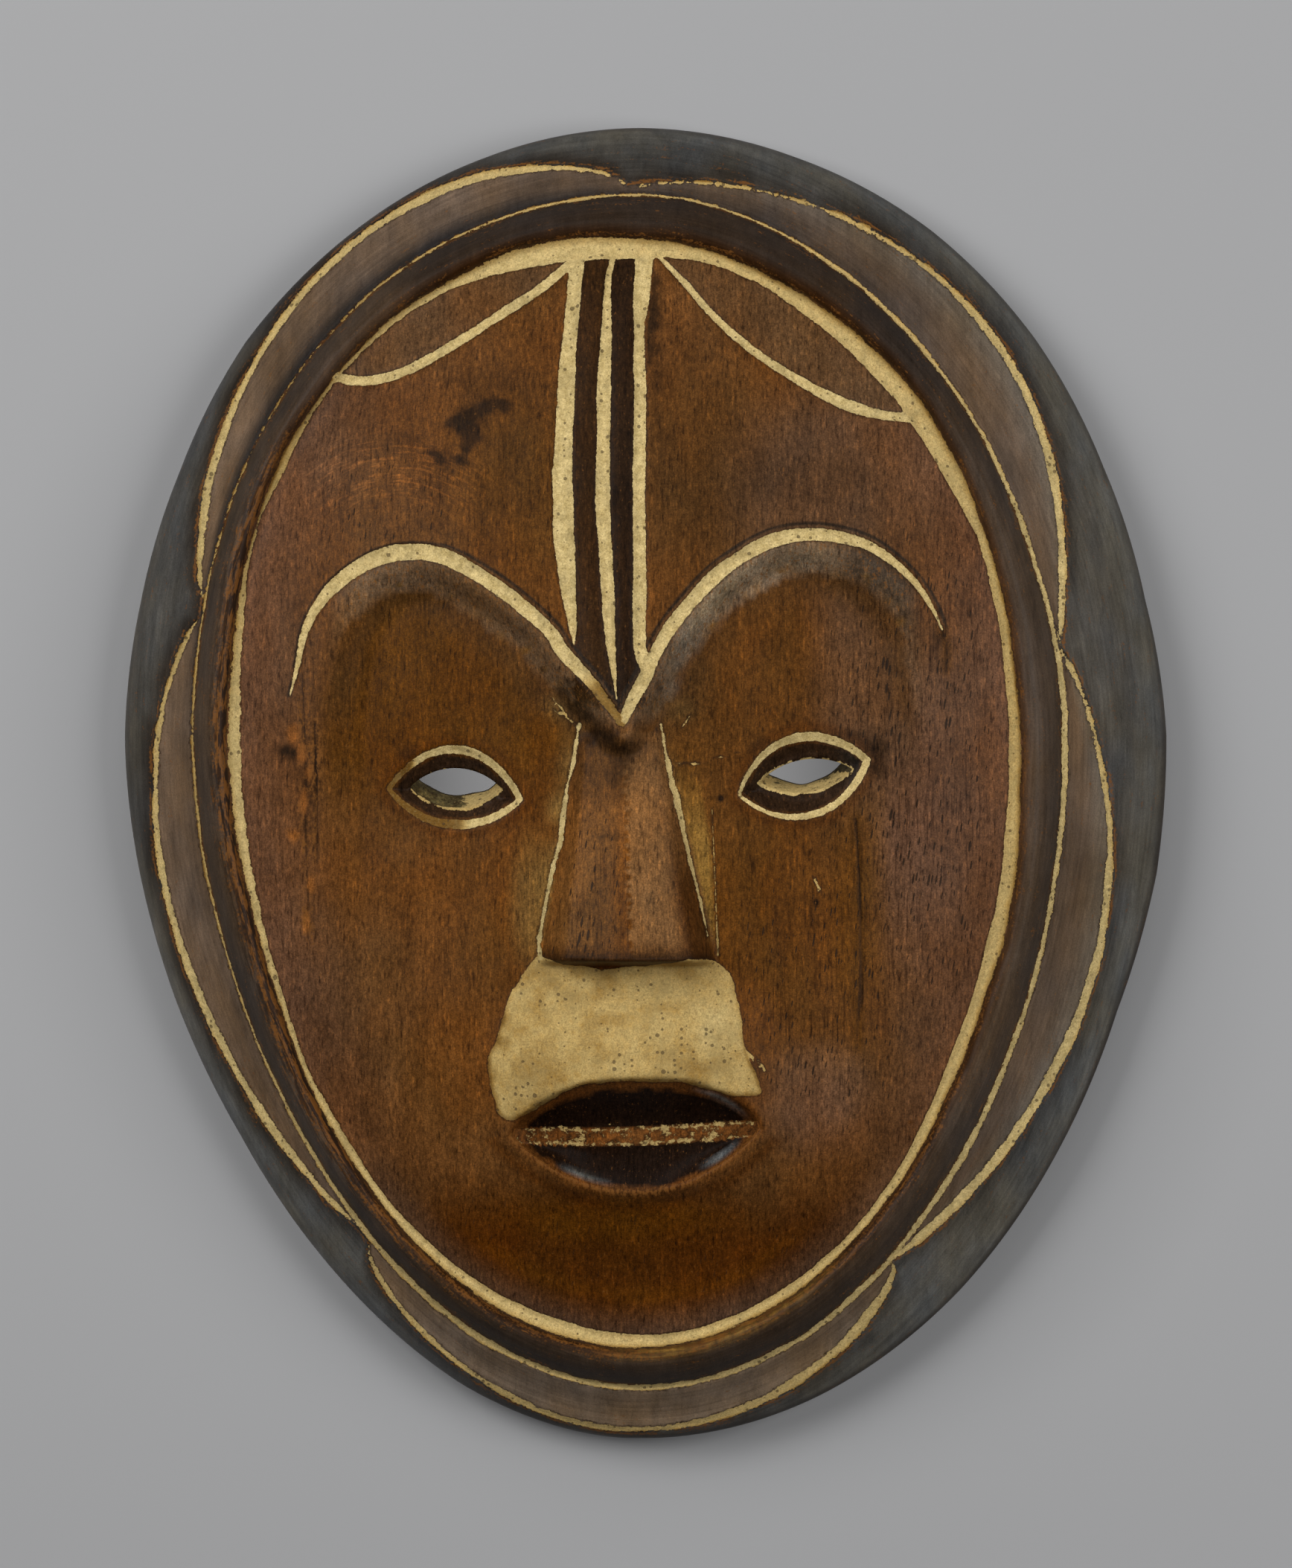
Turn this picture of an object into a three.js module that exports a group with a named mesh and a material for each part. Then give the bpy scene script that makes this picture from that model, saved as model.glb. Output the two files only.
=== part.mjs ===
// Carved wooden face mask, one piece, lying face up on the flat rim of its hollow back.
// Millimetres. +Z points out of the face, +Y to the top of the head and +X to the right as seen.
// The origin is under the middle of the mask, on the surface that it lies on.
import * as THREE from 'three';

// Overall size
const MASK_HEIGHT = 343.2;
const MASK_WIDTH = 271.6;
const DOME_HEIGHT = 60;
const EDGE_HEIGHT = 9;
const DOME_ROUNDNESS = 0.6;

// Hollow back: a flat rim all round, and a dish that follows the front
const RIM_WIDTH = 14;
const HOLLOW_HEIGHT = 40;
const HOLLOW_ROUNDNESS = 2.6;

// Ovals around the face share one middle. Each has a reach to the right, top, left and bottom,
// and a fullness for the quarters at top right, top left, bottom left and bottom right.
const MIDDLE = { x: -1.6, y: 12.7 };
const OUTLINE = {
  reach: [
    MASK_WIDTH / 2 - MIDDLE.x,
    MASK_HEIGHT / 2 - MIDDLE.y,
    MASK_WIDTH / 2 + MIDDLE.x,
    MASK_HEIGHT / 2 + MIDDLE.y,
  ],
  fullness: [1.98, 1.99, 1.81, 1.97],
};
const THIN_LINE = { reach: [108.8, 138.2, 114, 167.4], fullness: [1.87, 2.11, 1.87, 1.99] };
const THICK_LINE = { reach: [96, 124.2, 103.3, 154.9], fullness: [1.95, 2.36, 1.95, 2.01] };
const THIN_LINE_WIDTH = 1.6;
const THICK_LINE_WIDTH = 3;
const LINE_DEPTH = 1.1;

// Rounded ring between the two lines, and the dip of the face just inside the thick line
const RING_RISE = 4.5;
const RING_ROUNDNESS = 0.8;
const FACE_DIP = { depth: 4, start: 3, reach: 9 };

// Crescents scooped out of the flank, in degrees clockwise from the top.
// Bulge is how far the outer edge stands off the thin line, skew moves its widest place,
// and a low fullness makes the bulge run flat along most of its length.
const CRESCENTS = [
  { start: -10, end: 81, bulge: 17, skew: 1.17, fullness: 1.32 },
  { start: 77, end: 157, bulge: 15.4, skew: 1, fullness: 0.91 },
  { start: 157, end: 205, bulge: 11.5, skew: 1, fullness: 0.25 },
  { start: 204, end: 285, bulge: 11.1, skew: 1.32, fullness: 0.58 },
  { start: 287, end: 357, bulge: 13.3, skew: 1.45, fullness: 0.47 },
];
const CRESCENT_SCOOP = 2;
const CRESCENT_FULL_SCOOP_WIDTH = 8;
const CRESCENT_LINE_WIDTH = 1.9;
const CRESCENT_FULL_LINE_WIDTH = 4;

// Brows: each runs from its outer tip over the top of the arch to the point above the nose
const BROW_POINT = [-5.9, 15.5];
const LEFT_BROW = [
  [-90.5, 22.3], [-86.3, 39.7], [-74.3, 54.2], [-58.7, 59.2], [-42.5, 53.3], [-24.4, 38.9],
];
const RIGHT_BROW = [
  [2.3, 33.4], [16.7, 51.6], [33, 62], [44.5, 63.4], [56.6, 60.7], [68.4, 51.6], [75.6, 39.3],
];
const BROW_WIDTH = 3.8;
const BROW_DEPTH = 1.2;
const BROW_TAPER = 0.28;

// Eye sockets under the brows: a short bevel at the brow that runs out wide and shallow sideways,
// and a floor that rises back to the cheeks below
const SOCKET_DEPTH = 7;
const SOCKET_BEVEL = 7;
const SOCKET_END_DEPTH = 3;
const SOCKET_END_BEVEL = 30;
const SOCKET_ENDS = [[-90, -48], [77, -48]];
const SOCKET_TURN = { from: 35, to: 98 };
const SOCKET_FADE = { from: 4, to: -80 };

// Nose: a wedge between two base lines, cut off square below
const NOSE_ROOT_Y = 14.5;
const NOSE_TIP_Y = -44.4;
const NOSE_UNDERSIDE_Y = -46.8;
const NOSE_LEFT = { root: -16.9, tip: -27.2 };
const NOSE_RIGHT = { root: 4, tip: 17.9 };
const NOSE_RIDGE = { root: -5.6, tip: -3.4 };
const NOSE_RISE = { root: 2, tip: 18.5 };
const NOSE_SHOULDER = { across: 0.74, height: 0.6 };
const NOSE_ROOT_SHARE = 0.08;

// Mouth: an almond recess with a level bar along its bottom, on a rounded muzzle
const MOUTH = { corners: [[-34.2, -90.1], [29.6, -88]], rise: 14.6, drop: 15.2 };
const MOUTH_UPPER_CURVE = { across: 2.4, up: 1.54 };
const MOUTH_LOWER_CURVE = { across: 2.1, up: 1.05 };
const MOUTH_DEPTH = 9.5;
const MOUTH_BAR_HEIGHT = 3.8;
const MOUTH_WALL_CURVE = 1.7;
const MOUTH_BAR_SHARE = 0.8;
const MUZZLE = { x: -2.3, y: -80, across: 46, up: 40, rise: 7.5 };
const CHIN_HOLLOW = { x: -4, y: -122, across: 62, up: 27, depth: 5 };

// Eyes: a bevelled almond, and inside it an opening that slants up through the wall to the back
const EYE_CURVE = { across: 2, up: 1.2 };
const LEFT_EYE = {
  almond: { corners: [[-66, -1], [-31.2, -4]], rise: 12.3, drop: 8.8 },
  opening: { corners: [[-60.2, -0.9], [-36.5, -1.6]], rise: 5.3, drop: 5.1 },
  behind: { corners: [[-58.8, 1.8], [-37.6, 1.2]], rise: 4.6, drop: 4.4 },
};
const RIGHT_EYE = {
  almond: { corners: [[23.6, -2.8], [57.5, 6.4]], rise: 11, drop: 10.6 },
  opening: { corners: [[28.7, 0.1], [53.4, 3.9]], rise: 5.6, drop: 4.5 },
  behind: { corners: [[29.9, 3.2], [52, 6.6]], rise: 4.8, drop: 4.4 },
};
const EYE_BEVEL_DEPTH = 4;
const EYE_BEVEL_SHARE = 0.5;

// Three stripes down the forehead, and the lower edge of a leaf on each side of them
const STRIPES = [
  { top: [-17.4, 133], bottom: [-18, 34.4], bow: -3, width: [3.8, 5, 2] },
  { top: [-8.5, 133.4], bottom: [-7.2, 21.5], bow: -2.9, width: [1.8, 3.7, 1.4] },
  { top: [-0.2, 134], bottom: [-0.8, 31], bow: -1.2, width: [4.2, 3.1, 3.4] },
];
const LEAF_EDGES = [
  { from: [-20.4, 131], to: [-77, 103.6], sag: -5.2, width: 2.4 },
  { from: [4.6, 133], to: [67.4, 94.8], sag: 7.8, width: 2.6 },
];
const STRIPE_DEPTH = 1.1;
const NARROWEST_GROOVE = 0.1;

// How closely the surface is divided into faces
const BORDER_STATIONS = 96;
const FLANK_ROWS = [0.34, 0.64, 0.84, 0.95];
const FLANK_ROOM = { inner: 1.9, outer: 0.7 };
const CRESCENT_ROOM = { line: 2.6, inner: 3.6, middle: 6.5 };
const RING_ROWS = [0.2, 0.5, 0.8];
const HOLLOW_ROWS = [0, 0.9, 3.6];
const BEVEL_ROWS = [0.5, 1];
const BROW_STEPS = 22;
const STRIPE_STEPS = 18;
const LEAF_STEPS = 11;
const NOSE_STEPS = 8;
const MOUTH_STEPS = 32;
const MOUTH_BAR_STEPS = 10;
const MOUTH_WALL_ROW = 5.4;
const EYE_STATIONS = 14;
const EYE_BEVEL_STATIONS = 20;
const FACE_SPACING = 6;
const BACK_SPACING = 13;
const FEATURE_CLEARANCE = 0.55;
const SMALLEST_GAP = 0.9;
const SMALLEST_RING_GAP = 0.4;
const REFINING_ROUNDS = 16;
const STEPPING_ROUNDS = 12;

const lerp = (a, b, t) => a + (b - a) * t;
const clamp = (t) => Math.min(1, Math.max(0, t));
const ease = (t) => clamp(t) ** 2 * (3 - 2 * clamp(t));

// Radius of an oval in a direction, clockwise from the top
function ovalRadius(oval, angle) {
  const [right, top, left, bottom] = oval.reach;
  const [topRight, topLeft, bottomLeft, bottomRight] = oval.fullness;
  const across = Math.sin(angle);
  const up = Math.cos(angle);
  const reachAcross = across > 0 ? right : left;
  const reachUp = up > 0 ? top : bottom;
  const upperFullness = across > 0 ? topRight : topLeft;
  const lowerFullness = across > 0 ? bottomRight : bottomLeft;
  const n = up > 0 ? upperFullness : lowerFullness;
  return (Math.abs(across / reachAcross) ** n + Math.abs(up / reachUp) ** n) ** (-1 / n);
}

// How far the crescents' outer edge stands off the thin line in a direction
function crescentBulge(angle) {
  let widest = 0;
  for (const { start, end, bulge, skew, fullness } of CRESCENTS) {
    const turn = THREE.MathUtils.euclideanModulo(angle * 180 / Math.PI - start, 360);
    const along = turn / (end - start);
    if (along < 1) {
      widest = Math.max(widest, bulge * Math.sin(Math.PI * along ** skew) ** fullness);
    }
  }
  return widest;
}

function polar(x, y) {
  return { angle: Math.atan2(x - MIDDLE.x, y - MIDDLE.y), radius: Math.hypot(x - MIDDLE.x, y - MIDDLE.y) };
}

function atAngle(angle, radius) {
  return [MIDDLE.x + radius * Math.sin(angle), MIDDLE.y + radius * Math.cos(angle)];
}

// Points of a carved line, each with its width
function stripeLine({ top, bottom, bow, width }, count) {
  const line = [];
  for (let i = 0; i <= count; i++) {
    const t = i / count;
    const wide = t < 0.5 ? lerp(width[0], width[1], 2 * t) : lerp(width[1], width[2], 2 * t - 1);
    line.push({
      x: lerp(top[0], bottom[0], t) + bow * 4 * t * (1 - t),
      y: lerp(top[1], bottom[1], t),
      width: wide,
    });
  }
  return line;
}

function leafLine({ from, to, sag, width }, count) {
  const line = [];
  const length = Math.hypot(to[0] - from[0], to[1] - from[1]);
  const normal = [(to[1] - from[1]) / length, (from[0] - to[0]) / length];
  for (let i = 0; i <= count; i++) {
    const t = i / count;
    const off = sag * 4 * t * (1 - t);
    line.push({
      x: lerp(from[0], to[0], t) + normal[0] * off,
      y: lerp(from[1], to[1], t) + normal[1] * off,
      width,
    });
  }
  return line;
}

// A brow's width grows from nothing at its outer tip
function browLine(controls, count, tipFirst) {
  const curve = new THREE.SplineCurve(controls.map(([x, y]) => new THREE.Vector2(x, y)));
  return curve.getSpacedPoints(count).map((point, i) => {
    const fromTip = tipFirst ? i / count : 1 - i / count;
    return { x: point.x, y: point.y, width: BROW_WIDTH * ease(fromTip / BROW_TAPER) };
  });
}

const leftBrow = browLine([...LEFT_BROW, BROW_POINT], BROW_STEPS, true);
const rightBrow = browLine([BROW_POINT, ...RIGHT_BROW], BROW_STEPS, false);
const stripeLines = STRIPES.map((stripe) => stripeLine(stripe, STRIPE_STEPS));
const leafLines = LEAF_EDGES.map((edge) => leafLine(edge, LEAF_STEPS));
const [leftEnd, rightEnd] = SOCKET_ENDS.map(([x, y]) => ({ x, y, width: 0 }));
const socketEdge = [leftEnd, ...leftBrow, ...rightBrow.slice(1), rightEnd];

// Distance from a line, and the line's width at the nearest place
function nearest(line, x, y) {
  let best = { gap: Infinity };
  for (let i = 1; i < line.length; i++) {
    const a = line[i - 1];
    const b = line[i];
    const dx = b.x - a.x;
    const dy = b.y - a.y;
    const t = clamp(((x - a.x) * dx + (y - a.y) * dy) / (dx * dx + dy * dy));
    const gap = Math.hypot(x - a.x - t * dx, y - a.y - t * dy);
    if (gap < best.gap) {
      best = { gap, width: lerp(a.width, b.width, t) };
    }
  }
  return best;
}

const vGroove = (depth, width, off) => depth * clamp(1 - 2 * Math.abs(off) / width);

function grooveDepth(line, depth, x, y) {
  const { gap, width } = nearest(line, x, y);
  return vGroove(depth, Math.max(width, NARROWEST_GROOVE), gap);
}

function insideLoop(loop, x, y) {
  let inside = false;
  loop.forEach(([ax, ay], i) => {
    const [bx, by] = loop[(i + 1) % loop.length];
    if ((ay > y) !== (by > y) && x < ax + (bx - ax) * (y - ay) / (by - ay)) {
      inside = !inside;
    }
  });
  return inside;
}

const underBrows = [
  ...socketEdge.map(({ x, y }) => [x, y]),
  [rightEnd.x, -MASK_HEIGHT],
  [leftEnd.x, -MASK_HEIGHT],
];

function socketDrop(x, y) {
  if (!insideLoop(underBrows, x, y)) {
    return 0;
  }
  const { gap } = nearest(socketEdge, x, y);
  const sideways = Math.abs(x - BROW_POINT[0]);
  const share = ease((sideways - SOCKET_TURN.from) / (SOCKET_TURN.to - SOCKET_TURN.from));
  const depth = lerp(SOCKET_DEPTH, SOCKET_END_DEPTH, share);
  const bevel = lerp(SOCKET_BEVEL, SOCKET_END_BEVEL, share);
  const fade = 1 - ease((SOCKET_FADE.from - y) / (SOCKET_FADE.from - SOCKET_FADE.to));
  return depth * ease((gap - BROW_WIDTH / 2) / bevel) * fade;
}

function noseRise(x, y) {
  if (y > NOSE_ROOT_Y || y < NOSE_UNDERSIDE_Y) {
    return 0;
  }
  const along = (NOSE_ROOT_Y - y) / (NOSE_ROOT_Y - NOSE_TIP_Y);
  const ridge = lerp(NOSE_RIDGE.root, NOSE_RIDGE.tip, along);
  const side = x < ridge ? NOSE_LEFT : NOSE_RIGHT;
  const across = Math.abs(x - ridge) / Math.abs(lerp(side.root, side.tip, along) - ridge);
  const { across: shoulder, height } = NOSE_SHOULDER;
  const upper = lerp(1, height, across / shoulder);
  const lower = height * clamp((1 - across) / (1 - shoulder));
  const section = across < shoulder ? upper : lower;
  const underside = clamp((y - NOSE_UNDERSIDE_Y) / (NOSE_TIP_Y - NOSE_UNDERSIDE_Y));
  const rise = lerp(NOSE_RISE.root, NOSE_RISE.tip, clamp(along)) * ease(along / NOSE_ROOT_SHARE);
  return rise * section * underside;
}

// Place inside an almond: level is 0 in its middle and 1 on its edge, v runs along its length
function almondPlace({ corners: [[x0, y0], [x1, y1]], rise, drop }, upperCurve, lowerCurve, x, y) {
  const half = Math.hypot(x1 - x0, y1 - y0) / 2;
  const along = [(x1 - x0) / (2 * half), (y1 - y0) / (2 * half)];
  const dx = x - (x0 + x1) / 2;
  const dy = y - (y0 + y1) / 2;
  const v = (dx * along[0] + dy * along[1]) / half;
  const off = dy * along[0] - dx * along[1];
  const curve = off > 0 ? upperCurve : lowerCurve;
  const height = Math.abs(off) / (off > 0 ? rise : drop);
  return { level: Math.abs(v) ** curve.across + height ** curve.up, v, off };
}

function mouthDrop(x, y) {
  const { level, v, off } = almondPlace(MOUTH, MOUTH_UPPER_CURVE, MOUTH_LOWER_CURVE, x, y);
  if (level >= 1) {
    return 0;
  }
  const { across, up } = off > 0 ? MOUTH_UPPER_CURVE : MOUTH_LOWER_CURVE;
  const edge = (off > 0 ? MOUTH.rise : MOUTH.drop) * (1 - Math.abs(v) ** across) ** (1 / up);
  const bar = Math.min(MOUTH_BAR_HEIGHT / 2, edge * MOUTH_BAR_SHARE);
  const fromBar = clamp((Math.abs(off) - bar) / (edge - bar));
  return MOUTH_DEPTH * (1 - fromBar ** MOUTH_WALL_CURVE) * Math.sqrt(1 - v ** 4);
}

function eyeDrop(eye, x, y) {
  const inward = 1 - almondPlace(eye.almond, EYE_CURVE, EYE_CURVE, x, y).level;
  return EYE_BEVEL_DEPTH * clamp(inward / EYE_BEVEL_SHARE);
}

function mound({ x: x0, y: y0, across, up }, x, y) {
  const spread = ((x - x0) / across) ** 2 + ((y - y0) / up) ** 2;
  return clamp(1 - spread) ** 2;
}

// Height of the carved front above the rim
function frontHeight(x, y) {
  const { angle, radius } = polar(x, y);
  const outline = ovalRadius(OUTLINE, angle);
  const thin = ovalRadius(THIN_LINE, angle);
  const thick = ovalRadius(THICK_LINE, angle);
  const bulge = crescentBulge(angle);
  const share = clamp(radius / outline);
  let z = EDGE_HEIGHT + (DOME_HEIGHT - EDGE_HEIGHT) * (1 - share ** 2) ** DOME_ROUNDNESS;
  const fromThin = radius - thin;
  if (bulge > 0 && fromThin > 0 && fromThin < bulge) {
    z -= CRESCENT_SCOOP * Math.sin(Math.PI * fromThin / bulge) * clamp(bulge / CRESCENT_FULL_SCOOP_WIDTH);
  }
  z -= vGroove(LINE_DEPTH, THIN_LINE_WIDTH, fromThin);
  z -= vGroove(LINE_DEPTH, CRESCENT_LINE_WIDTH, fromThin - bulge) * clamp(bulge / CRESCENT_FULL_LINE_WIDTH);
  z -= vGroove(LINE_DEPTH, THICK_LINE_WIDTH, radius - thick);
  const ringStart = thick + THICK_LINE_WIDTH / 2;
  const ringEnd = thin - THIN_LINE_WIDTH / 2;
  const across = clamp((radius - ringStart) / (ringEnd - ringStart));
  z += RING_RISE * Math.sin(Math.PI * across) ** RING_ROUNDNESS;
  if (radius < ringStart) {
    const inside = ringStart - radius;
    z -= FACE_DIP.depth * (1 - Math.exp(-inside / FACE_DIP.start)) * Math.exp(-inside / FACE_DIP.reach);
    z += faceRelief(x, y);
  }
  return z;
}

// Relief of the face itself, inside the thick line
function faceRelief(x, y) {
  let z = noseRise(x, y) - socketDrop(x, y);
  z += MUZZLE.rise * mound(MUZZLE, x, y);
  z -= CHIN_HOLLOW.depth * mound(CHIN_HOLLOW, x, y);
  z -= mouthDrop(x, y) + eyeDrop(LEFT_EYE, x, y) + eyeDrop(RIGHT_EYE, x, y);
  z -= Math.max(grooveDepth(leftBrow, BROW_DEPTH, x, y), grooveDepth(rightBrow, BROW_DEPTH, x, y));
  for (const line of [...stripeLines, ...leafLines]) {
    z -= grooveDepth(line, STRIPE_DEPTH, x, y);
  }
  return z;
}

// Height of the hollow back above the rim, zero on the rim itself
function backHeight(x, y) {
  const { angle, radius } = polar(x, y);
  const share = radius / (ovalRadius(OUTLINE, angle) - RIM_WIDTH);
  return share < 1 ? HOLLOW_HEIGHT * Math.sqrt(1 - share ** HOLLOW_ROUNDNESS) : 0;
}

// A net of points in the plane, with the runs of points that edges have to follow
class Net {
  constructor() {
    this.points = [];
    this.runs = [];
  }

  // Index of a new point, or of the one already there within a gap
  add(x, y, gap = SMALLEST_GAP) {
    const near = this.points.findIndex(([px, py]) => Math.hypot(px - x, py - y) < gap);
    if (near >= 0) {
      return near;
    }
    return this.points.push([x, y]) - 1;
  }

  // Adds a run of places, broken where keep says no
  run(places, closed = false, keep = () => true) {
    const gap = closed ? SMALLEST_RING_GAP : SMALLEST_GAP;
    const around = closed ? [...places, places[0]] : places;
    const indices = around.map((place, i) => (keep(place, i) ? this.add(...place, gap) : -1));
    let stretch = [];
    for (const index of [...indices, -1]) {
      if (index < 0) {
        this.runs.push(stretch);
        stretch = [];
      } else if (index !== stretch.at(-1)) {
        stretch.push(index);
      }
    }
    return indices;
  }

  // Evenly spread points over the inside of a region, clear of the runs already there
  fill(spacing, isInside) {
    const placed = this.points.map(([x, y]) => ({ x, y, width: 0 }));
    const lines = this.runs.map((run) => run.map((i) => placed[i]));
    const clearance = spacing * FEATURE_CLEARANCE;
    const rowHeight = spacing * Math.sqrt(3) / 2;
    const rows = Math.ceil(MASK_HEIGHT / rowHeight / 2);
    const columns = Math.ceil(MASK_WIDTH / spacing / 2);
    for (let row = -rows; row <= rows; row++) {
      for (let column = -columns; column <= columns; column++) {
        const x = (column + (row % 2) / 2) * spacing;
        const y = row * rowHeight;
        if (isInside(x, y) && lines.every((line) => nearest(line, x, y).gap > clearance)) {
          this.points.push([x, y]);
        }
      }
    }
  }
}

// Delaunay triangles of points in the plane, as corner indices, counterclockwise
function delaunay(points) {
  const far = 1e5;
  const jitter = { x: 12.9, y: 78.2, size: 1e-5 };
  const count = points.length;
  const spots = points.map(([x, y], i) => [
    x + jitter.size * Math.sin(i * jitter.x),
    y + jitter.size * Math.sin(i * jitter.y),
  ]);
  spots.push([-far, -far], [far, -far], [0, far]);
  const circled = (a, b, c) => {
    const [ax, ay] = spots[a];
    const bx = spots[b][0] - ax;
    const by = spots[b][1] - ay;
    const cx = spots[c][0] - ax;
    const cy = spots[c][1] - ay;
    const twiceArea = 2 * (bx * cy - by * cx);
    const ux = (cy * (bx * bx + by * by) - by * (cx * cx + cy * cy)) / twiceArea;
    const uy = (bx * (cx * cx + cy * cy) - cx * (bx * bx + by * by)) / twiceArea;
    return { corners: [a, b, c], x: ax + ux, y: ay + uy, reach: ux * ux + uy * uy };
  };
  let faces = [circled(count, count + 1, count + 2)];
  for (let i = 0; i < count; i++) {
    const [x, y] = spots[i];
    const edges = new Map();
    const kept = [];
    for (const face of faces) {
      if ((x - face.x) ** 2 + (y - face.y) ** 2 >= face.reach) {
        kept.push(face);
        continue;
      }
      face.corners.forEach((a, k) => {
        const b = face.corners[(k + 1) % 3];
        const back = `${b},${a}`;
        if (!edges.delete(back)) {
          edges.set(`${a},${b}`, [a, b]);
        }
      });
    }
    for (const [a, b] of edges.values()) {
      kept.push(circled(a, b, i));
    }
    faces = kept;
  }
  return faces.map((face) => face.corners).filter((corners) => corners.every((corner) => corner < count));
}

// Triangles that follow every run: an edge that is missing is halved by a new point
function triangulate(net) {
  for (let round = 0; round < REFINING_ROUNDS; round++) {
    const triangles = delaunay(net.points);
    const edges = new Set();
    for (const [a, b, c] of triangles) {
      [[a, b], [b, c], [c, a]].forEach(([p, q]) => edges.add(p < q ? `${p},${q}` : `${q},${p}`));
    }
    let missing = 0;
    net.runs = net.runs.map((run) => run.flatMap((b, i) => {
      const a = run[i - 1];
      if (i === 0 || edges.has(a < b ? `${a},${b}` : `${b},${a}`)) {
        return [b];
      }
      missing += 1;
      const [ax, ay] = net.points[a];
      const [bx, by] = net.points[b];
      return [net.points.push([(ax + bx) / 2, (ay + by) / 2]) - 1, b];
    }));
    if (missing === 0) {
      return triangles;
    }
  }
  return delaunay(net.points);
}

// Points along the left of a line, at a distance that may vary with the place on it
function beside(line, distanceAt) {
  return line.map((place, i) => {
    const a = line[Math.max(0, i - 1)];
    const b = line[Math.min(line.length - 1, i + 1)];
    const off = distanceAt(place) / Math.hypot(b.x - a.x, b.y - a.y);
    return [place.x - (b.y - a.y) * off, place.y + (b.x - a.x) * off];
  });
}

// Points round an almond, crowded towards its corners
function almondLoop({ corners: [[x0, y0], [x1, y1]], rise, drop }, upperCurve, lowerCurve, count) {
  const loop = [];
  const length = Math.hypot(x1 - x0, y1 - y0);
  for (let i = 0; i < count; i++) {
    const turn = 2 * Math.PI * i / count;
    const v = Math.cos(turn);
    const upper = Math.sin(turn) >= 0;
    const { across, up } = upper ? upperCurve : lowerCurve;
    const off = (upper ? rise : -drop) * (1 - Math.abs(v) ** across) ** (1 / up);
    const along = (v + 1) / 2;
    loop.push([
      lerp(x0, x1, along) - (y1 - y0) / length * off,
      lerp(y0, y1, along) + (x1 - x0) / length * off,
    ]);
  }
  return loop;
}

const eyeLoop = (almond, count) => almondLoop(almond, EYE_CURVE, EYE_CURVE, count);

// Stations round the thin line, each with the direction that leaves it squarely
const stations = Array.from({ length: BORDER_STATIONS }, (unused, i) => {
  const angle = 2 * Math.PI * i / BORDER_STATIONS;
  const nudge = 0.001;
  const [x, y] = atAngle(angle, ovalRadius(THIN_LINE, angle));
  const [ax, ay] = atAngle(angle - nudge, ovalRadius(THIN_LINE, angle - nudge));
  const [bx, by] = atAngle(angle + nudge, ovalRadius(THIN_LINE, angle + nudge));
  const length = Math.hypot(bx - ax, by - ay);
  return { x, y, out: [(ay - by) / length, (bx - ax) / length] };
});

// The place of each station on a closed row, found by stepping squarely off the thin line
function rowOf(radiusAt) {
  return stations.map(({ x, y, out }) => {
    let step = 0;
    for (let round = 0; round < STEPPING_ROUNDS; round++) {
      const { angle, radius } = polar(x + out[0] * step, y + out[1] * step);
      step += radiusAt(angle) - radius;
    }
    return [x + out[0] * step, y + out[1] * step];
  });
}

const outlineLoop = rowOf((angle) => ovalRadius(OUTLINE, angle));
const eyes = [LEFT_EYE, RIGHT_EYE];
const frontOpenings = eyes.map((eye) => eyeLoop(eye.opening, EYE_STATIONS));
const backOpenings = eyes.map((eye) => eyeLoop(eye.behind, EYE_STATIONS));

// Rows of points from the outline in to the thick line
function addBorder(net) {
  const thin = (angle) => ovalRadius(THIN_LINE, angle);
  const thick = (angle) => ovalRadius(THICK_LINE, angle);
  const crescent = (angle) => thin(angle) + crescentBulge(angle);
  const ringEnd = (angle) => thin(angle) - THIN_LINE_WIDTH / 2;
  const ringStart = (angle) => thick(angle) + THICK_LINE_WIDTH / 2;
  const always = [
    thin,
    thick,
    ringEnd,
    ringStart,
    ...RING_ROWS.map((share) => (angle) => lerp(ringStart(angle), ringEnd(angle), share)),
    (angle) => thick(angle) - THICK_LINE_WIDTH / 2,
    (angle) => thin(angle) + THIN_LINE_WIDTH / 2,
  ];
  always.forEach((row) => net.run(rowOf(row), true));
  const whereWider = (bulge) => ([x, y]) => crescentBulge(polar(x, y).angle) > bulge;
  const halfLine = CRESCENT_LINE_WIDTH / 2;
  net.run(rowOf(crescent), true, whereWider(CRESCENT_ROOM.line));
  net.run(rowOf((angle) => crescent(angle) + halfLine), true, whereWider(CRESCENT_ROOM.line));
  net.run(rowOf((angle) => crescent(angle) - halfLine), true, whereWider(CRESCENT_ROOM.inner));
  net.run(rowOf((angle) => thin(angle) + crescentBulge(angle) / 2), true, whereWider(CRESCENT_ROOM.middle));
  for (const share of FLANK_ROWS) {
    const flankAt = ([x, y]) => {
      const { angle } = polar(x, y);
      const flank = ovalRadius(OUTLINE, angle) - crescent(angle);
      return share * flank > FLANK_ROOM.inner && (1 - share) * flank > FLANK_ROOM.outer;
    };
    net.run(rowOf((angle) => lerp(crescent(angle), ovalRadius(OUTLINE, angle), share)), true, flankAt);
  }
}

function addGroove(net, line) {
  net.run(line.map(({ x, y }) => [x, y]));
  const wideEnough = (place, i) => line[i].width > 2 * SMALLEST_GAP;
  net.run(beside(line, ({ width }) => width / 2), false, wideEnough);
  net.run(beside(line, ({ width }) => -width / 2), false, wideEnough);
}

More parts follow.
